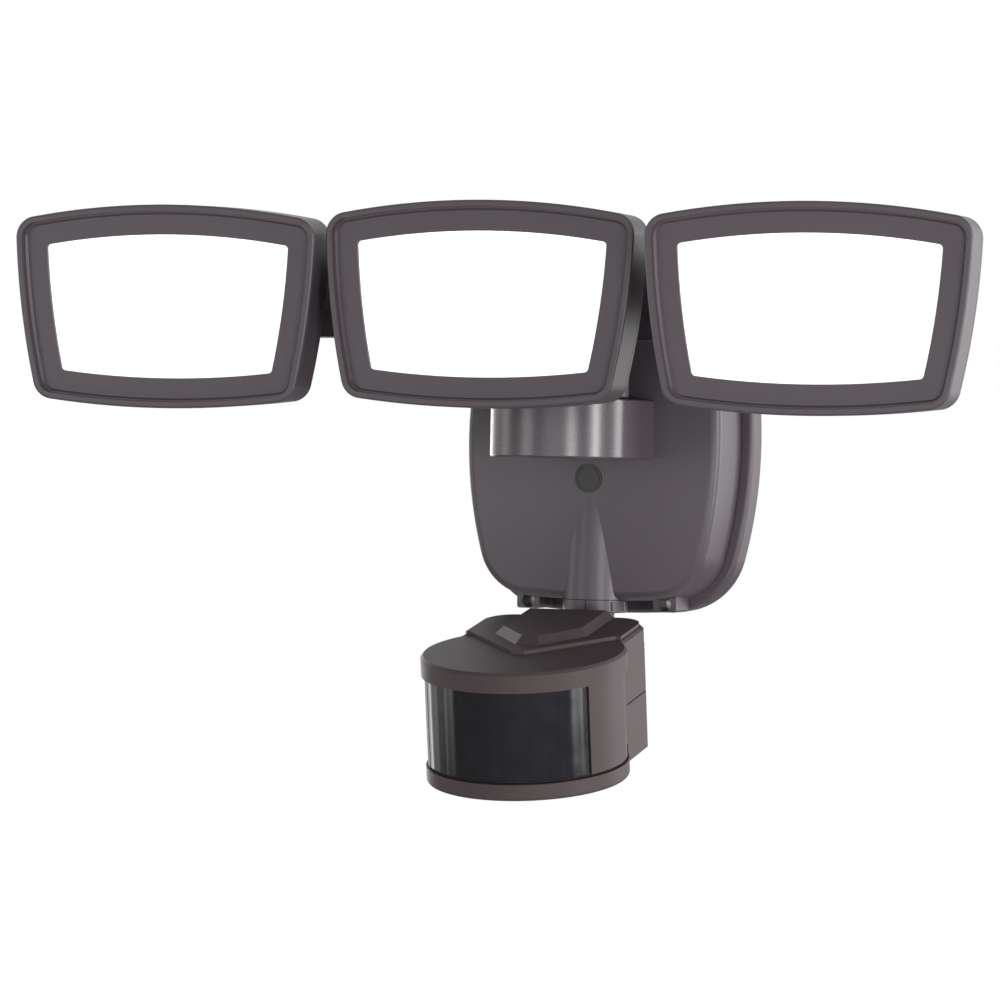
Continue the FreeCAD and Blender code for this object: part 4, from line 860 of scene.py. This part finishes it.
@dataclass
class MotionSensor:
    """The sensor under the wall box, with its window and adjusters.

    Attributes:
        palette: The shared finishes.
        ticks: Marks of the scale round each adjuster.
        scale_radius: Radius of the scale.
        tick: Size of a mark along the radius, the arc and the axis.
        scale_sweep: Angle from the first mark to the last.
        scale_inset: How far the marks sit behind the adjuster's joint, along its axis.
        drum_ahead: Distance of the drum's centre ahead of the two adjusters.
    """

    palette: Palette
    ticks: int = 11
    scale_radius: float = 8.7 * MM
    tick: tuple[float, float, float] = (1.5 * MM, 0.35 * MM, 0.3 * MM)
    scale_sweep: float = math.radians(270)
    scale_inset: float = 2.0 * MM
    drum_ahead: float = 4.0 * MM

    def build(self, patterns: ArcPattern) -> None:
        """Dress the sensor's nodes and mark the scales of its adjusters.

        Args:
            patterns: The tree that sets blocks on an arc.
        """
        look = self.palette
        finishes = {
            "sensor_swivel": look.metal, "sensor_nut": look.steel, "sensor_bolt": look.steel,
            "sensor_body": look.plastic, "sensor_cap": look.plastic, "sensor_ring": look.plastic,
            "sensor_board": look.green_board, "sensor_eye": look.steel, "time_knob": look.black,
            "range_knob": look.black,
        }
        for node, material in finishes.items():
            dress(node, material)
        centre, lean, turn = self._drum_place()
        dress("sensor_window", SmokedWindow("smoked_window", centre, (lean, 0.0, turn)).build())
        for name in ("time", "range"):
            inset = Matrix.Translation((0, 0, -self.scale_inset))
            place = axis_frame(joint_of(f"{name}_knob_turn")) @ inset
            scale = patterns.make(f"{name}_scale", self.ticks, self.scale_radius, self.scale_sweep,
                                  self.tick, look.white, place)
            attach(scale, "sensor")

    def _drum_place(self) -> tuple[Vector, float, float]:
        """Find the window's drum from the sensor's joints.

        Returns:
            The drum's centre, its forward lean and its turn about the upright, in radians.
        """
        tilt, time, reach = joint_of("sensor_tilt"), joint_of("time_knob_turn"), joint_of("range_knob_turn")
        turn = math.atan2(tilt["axis"][1], tilt["axis"][0])
        lean = math.acos(max(-1.0, min(1.0, Vector(time["axis"]).z)))
        forward = Vector((math.sin(turn), -math.cos(turn), 0)) * math.cos(lean)
        forward -= Vector((0, 0, math.sin(lean)))
        middle = (Vector(time["pos_m"]) + Vector(reach["pos_m"])) / 2
        return middle + forward * self.drum_ahead, lean, turn


# ------------------------------------------------------------------ studio

class Lamp(Enum):
    """Soft lamps of the studio: place, width and height, and power in watts."""

    FRONT_LEFT = ((-1.2, -1.8, -0.1), (0.7, 0.7), 7.5)
    FRONT_RIGHT = ((1.4, -1.7, 0.0), (0.5, 0.9), 22.0)
    SIDE_RIGHT = ((1.9, -0.3, 0.0), (0.4, 1.0), 28.0)
    SIDE_LEFT = ((-1.9, -0.4, 0.1), (0.5, 1.4), 5.5)
    LOW_FRONT = ((0.3, -2.2, -0.3), (1.2, 0.4), 9.0)
    BACK_RIGHT = ((1.3, 1.3, 0.2), (0.8, 1.4), 16.0)
    BACK_LEFT = ((-1.3, 1.3, 0.2), (0.8, 1.4), 12.0)


@dataclass
class Studio:
    """Surroundings, floor, lamps and camera.

    Attributes:
        azimuth: Angle of the camera round the object towards +X, in degrees.
        focal: Focal length, in millimetres.
        film: Width of the camera's sensor, in millimetres.
        sight: Distance up to which the camera sees.
        roll: Clockwise turn of the picture, in degrees.
        horizon: Row of the picture at the camera's height.
        mark: A point of the object that the camera is set out from.
        mark_pixel: Where that point lies in the picture.
        mark_depth: Its distance from the camera along the view.
        fill: Strength of the even light from all round.
        aim: The point that every lamp is turned to.
        floor_height: Height of the floor.
        floor_reach: Half the floor's side.
    """

    azimuth: float = 21.0
    focal: float = 162.0
    film: float = 36.0
    sight: float = 20.0
    roll: float = 1.2
    horizon: float = 455.0
    mark: Vector = field(default_factory=lambda: Vector((-3.15, -42.0, 0.0)) * MM)
    mark_pixel: tuple[float, float] = (583.5, 478.0)
    mark_depth: float = 1.884
    fill: float = 0.08
    aim: tuple[float, float, float] = (0.0, -0.08, 0.02)
    floor_height: float = -1.3
    floor_reach: float = 6.0

    def build(self) -> None:
        """Set the stage, the lamps and the camera."""
        bpy.context.scene.view_settings.view_transform = "Standard"
        self._world()
        self._stage()
        self._lamps()
        self._camera()

    def _world(self) -> None:
        """Give a dim even light, and show white to camera, glossy and transmission rays."""
        world = bpy.data.worlds.new("studio")
        bpy.context.scene.world = world
        world.use_nodes = True
        tree = world.node_tree
        tree.nodes.clear()
        out = tree.nodes.new("ShaderNodeOutputWorld")
        mix = tree.nodes.new("ShaderNodeMixShader")
        for slot, strength in ((1, self.fill), (2, 1.0)):
            light = tree.nodes.new("ShaderNodeBackground")
            light.inputs["Color"].default_value = Tone.LIT_WHITE.rgba
            light.inputs["Strength"].default_value = strength
            tree.links.new(light.outputs[0], mix.inputs[slot])
        path = tree.nodes.new("ShaderNodeLightPath")
        shown = path.outputs["Is Camera Ray"]
        for ray in ("Is Transmission Ray", "Is Glossy Ray"):
            either = tree.nodes.new("ShaderNodeMath")
            either.operation = "MAXIMUM"
            tree.links.new(shown, either.inputs[0])
            tree.links.new(path.outputs[ray], either.inputs[1])
            shown = either.outputs[0]
        tree.links.new(shown, mix.inputs["Fac"])
        tree.links.new(mix.outputs[0], out.inputs["Surface"])

    def _stage(self) -> None:
        """Add a plain pale floor well below the light."""
        mesh = bpy.data.meshes.new("floor")
        shape = bmesh.new()
        bmesh.ops.create_grid(shape, x_segments=1, y_segments=1, size=self.floor_reach)
        shape.to_mesh(mesh)
        shape.free()
        mesh.transform(Matrix.Translation((0, 0, self.floor_height)))
        floor = bpy.data.objects.new("floor", mesh)
        bpy.context.scene.collection.objects.link(floor)
        sheet = Sheet("pale_floor")
        sheet.shader.inputs["Base Color"].default_value = Tone.FLOOR.rgba
        sheet.shader.inputs["Roughness"].default_value = 0.9
        glow = sheet.node("ShaderNodeEmission")
        glow.inputs["Strength"].default_value = 1.0
        mix = sheet.node("ShaderNodeMixShader")
        path = sheet.node("ShaderNodeLightPath")
        out = sheet.tree.nodes["Material Output"]
        sheet.link(path.outputs["Is Camera Ray"], mix.inputs["Fac"])
        sheet.link(sheet.shader.outputs[0], mix.inputs[1])
        sheet.link(glow.outputs[0], mix.inputs[2])
        sheet.link(mix.outputs[0], out.inputs["Surface"])
        mesh.materials.append(sheet.material)

    def _lamp(self, name: str, place: tuple[float, float, float], size: tuple[float, float],
              power: float) -> None:
        """Add a soft rectangular lamp aimed at the middle of the object.

        Args:
            name: The lamp's name.
            place: Its position.
            size: Its width and height.
            power: Its power in watts.
        """
        data = bpy.data.lights.new(name, "AREA")
        data.shape = "RECTANGLE"
        data.size, data.size_y = size
        data.energy = power
        lamp = bpy.data.objects.new(name, data)
        bpy.context.scene.collection.objects.link(lamp)
        lamp.location = place
        aim = Vector(self.aim) - Vector(place)
        lamp.rotation_euler = aim.to_track_quat("-Z", "Y").to_euler()

    def _lamps(self) -> None:
        """Add the soft lamps of a product studio."""
        for lamp in Lamp:
            self._lamp(lamp.name.lower(), *lamp.value)

    def _camera(self) -> None:
        """Stand the camera where the reference view was taken from."""
        pixels = self.focal / self.film * IMAGE_SIDE
        half = IMAGE_SIDE / 2
        turn = math.radians(self.azimuth)
        drop = math.atan((half - self.horizon) / pixels)
        level = Vector((-math.sin(turn), math.cos(turn), 0.0))
        right = Vector((math.cos(turn), math.sin(turn), 0.0))
        down = Vector((0.0, 0.0, -1.0))
        view = math.cos(drop) * level + math.sin(drop) * down
        low = math.cos(drop) * down - math.sin(drop) * level
        roll = math.radians(self.roll)
        across = math.cos(roll) * right - math.sin(roll) * low
        under = math.sin(roll) * right + math.cos(roll) * low
        x = (self.mark_pixel[0] - half) / pixels * self.mark_depth
        y = (self.mark_pixel[1] - half) / pixels * self.mark_depth
        eye = self.mark - across * x - under * y - view * self.mark_depth
        data = bpy.data.cameras.new("camera")
        data.lens = self.focal
        data.sensor_width = self.film
        data.clip_end = self.sight
        camera = bpy.data.objects.new("camera", data)
        bpy.context.scene.collection.objects.link(camera)
        axes = Matrix((across, -under, -view)).transposed().to_4x4()
        camera.matrix_world = Matrix.Translation(eye) @ axes
        bpy.context.scene.camera = camera


def main() -> None:
    """Build the finishes, the sub-assemblies and the studio in order."""
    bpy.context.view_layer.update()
    palette = Palette()
    patterns = ArcPattern()
    WallBox(palette).build()
    Crossbar(palette).build()
    for side in ("left", "middle", "right"):
        LampHead(side, palette).build(patterns)
    MotionSensor(palette).build(patterns)
    Studio().build()


if __name__ == "__main__":
    main()
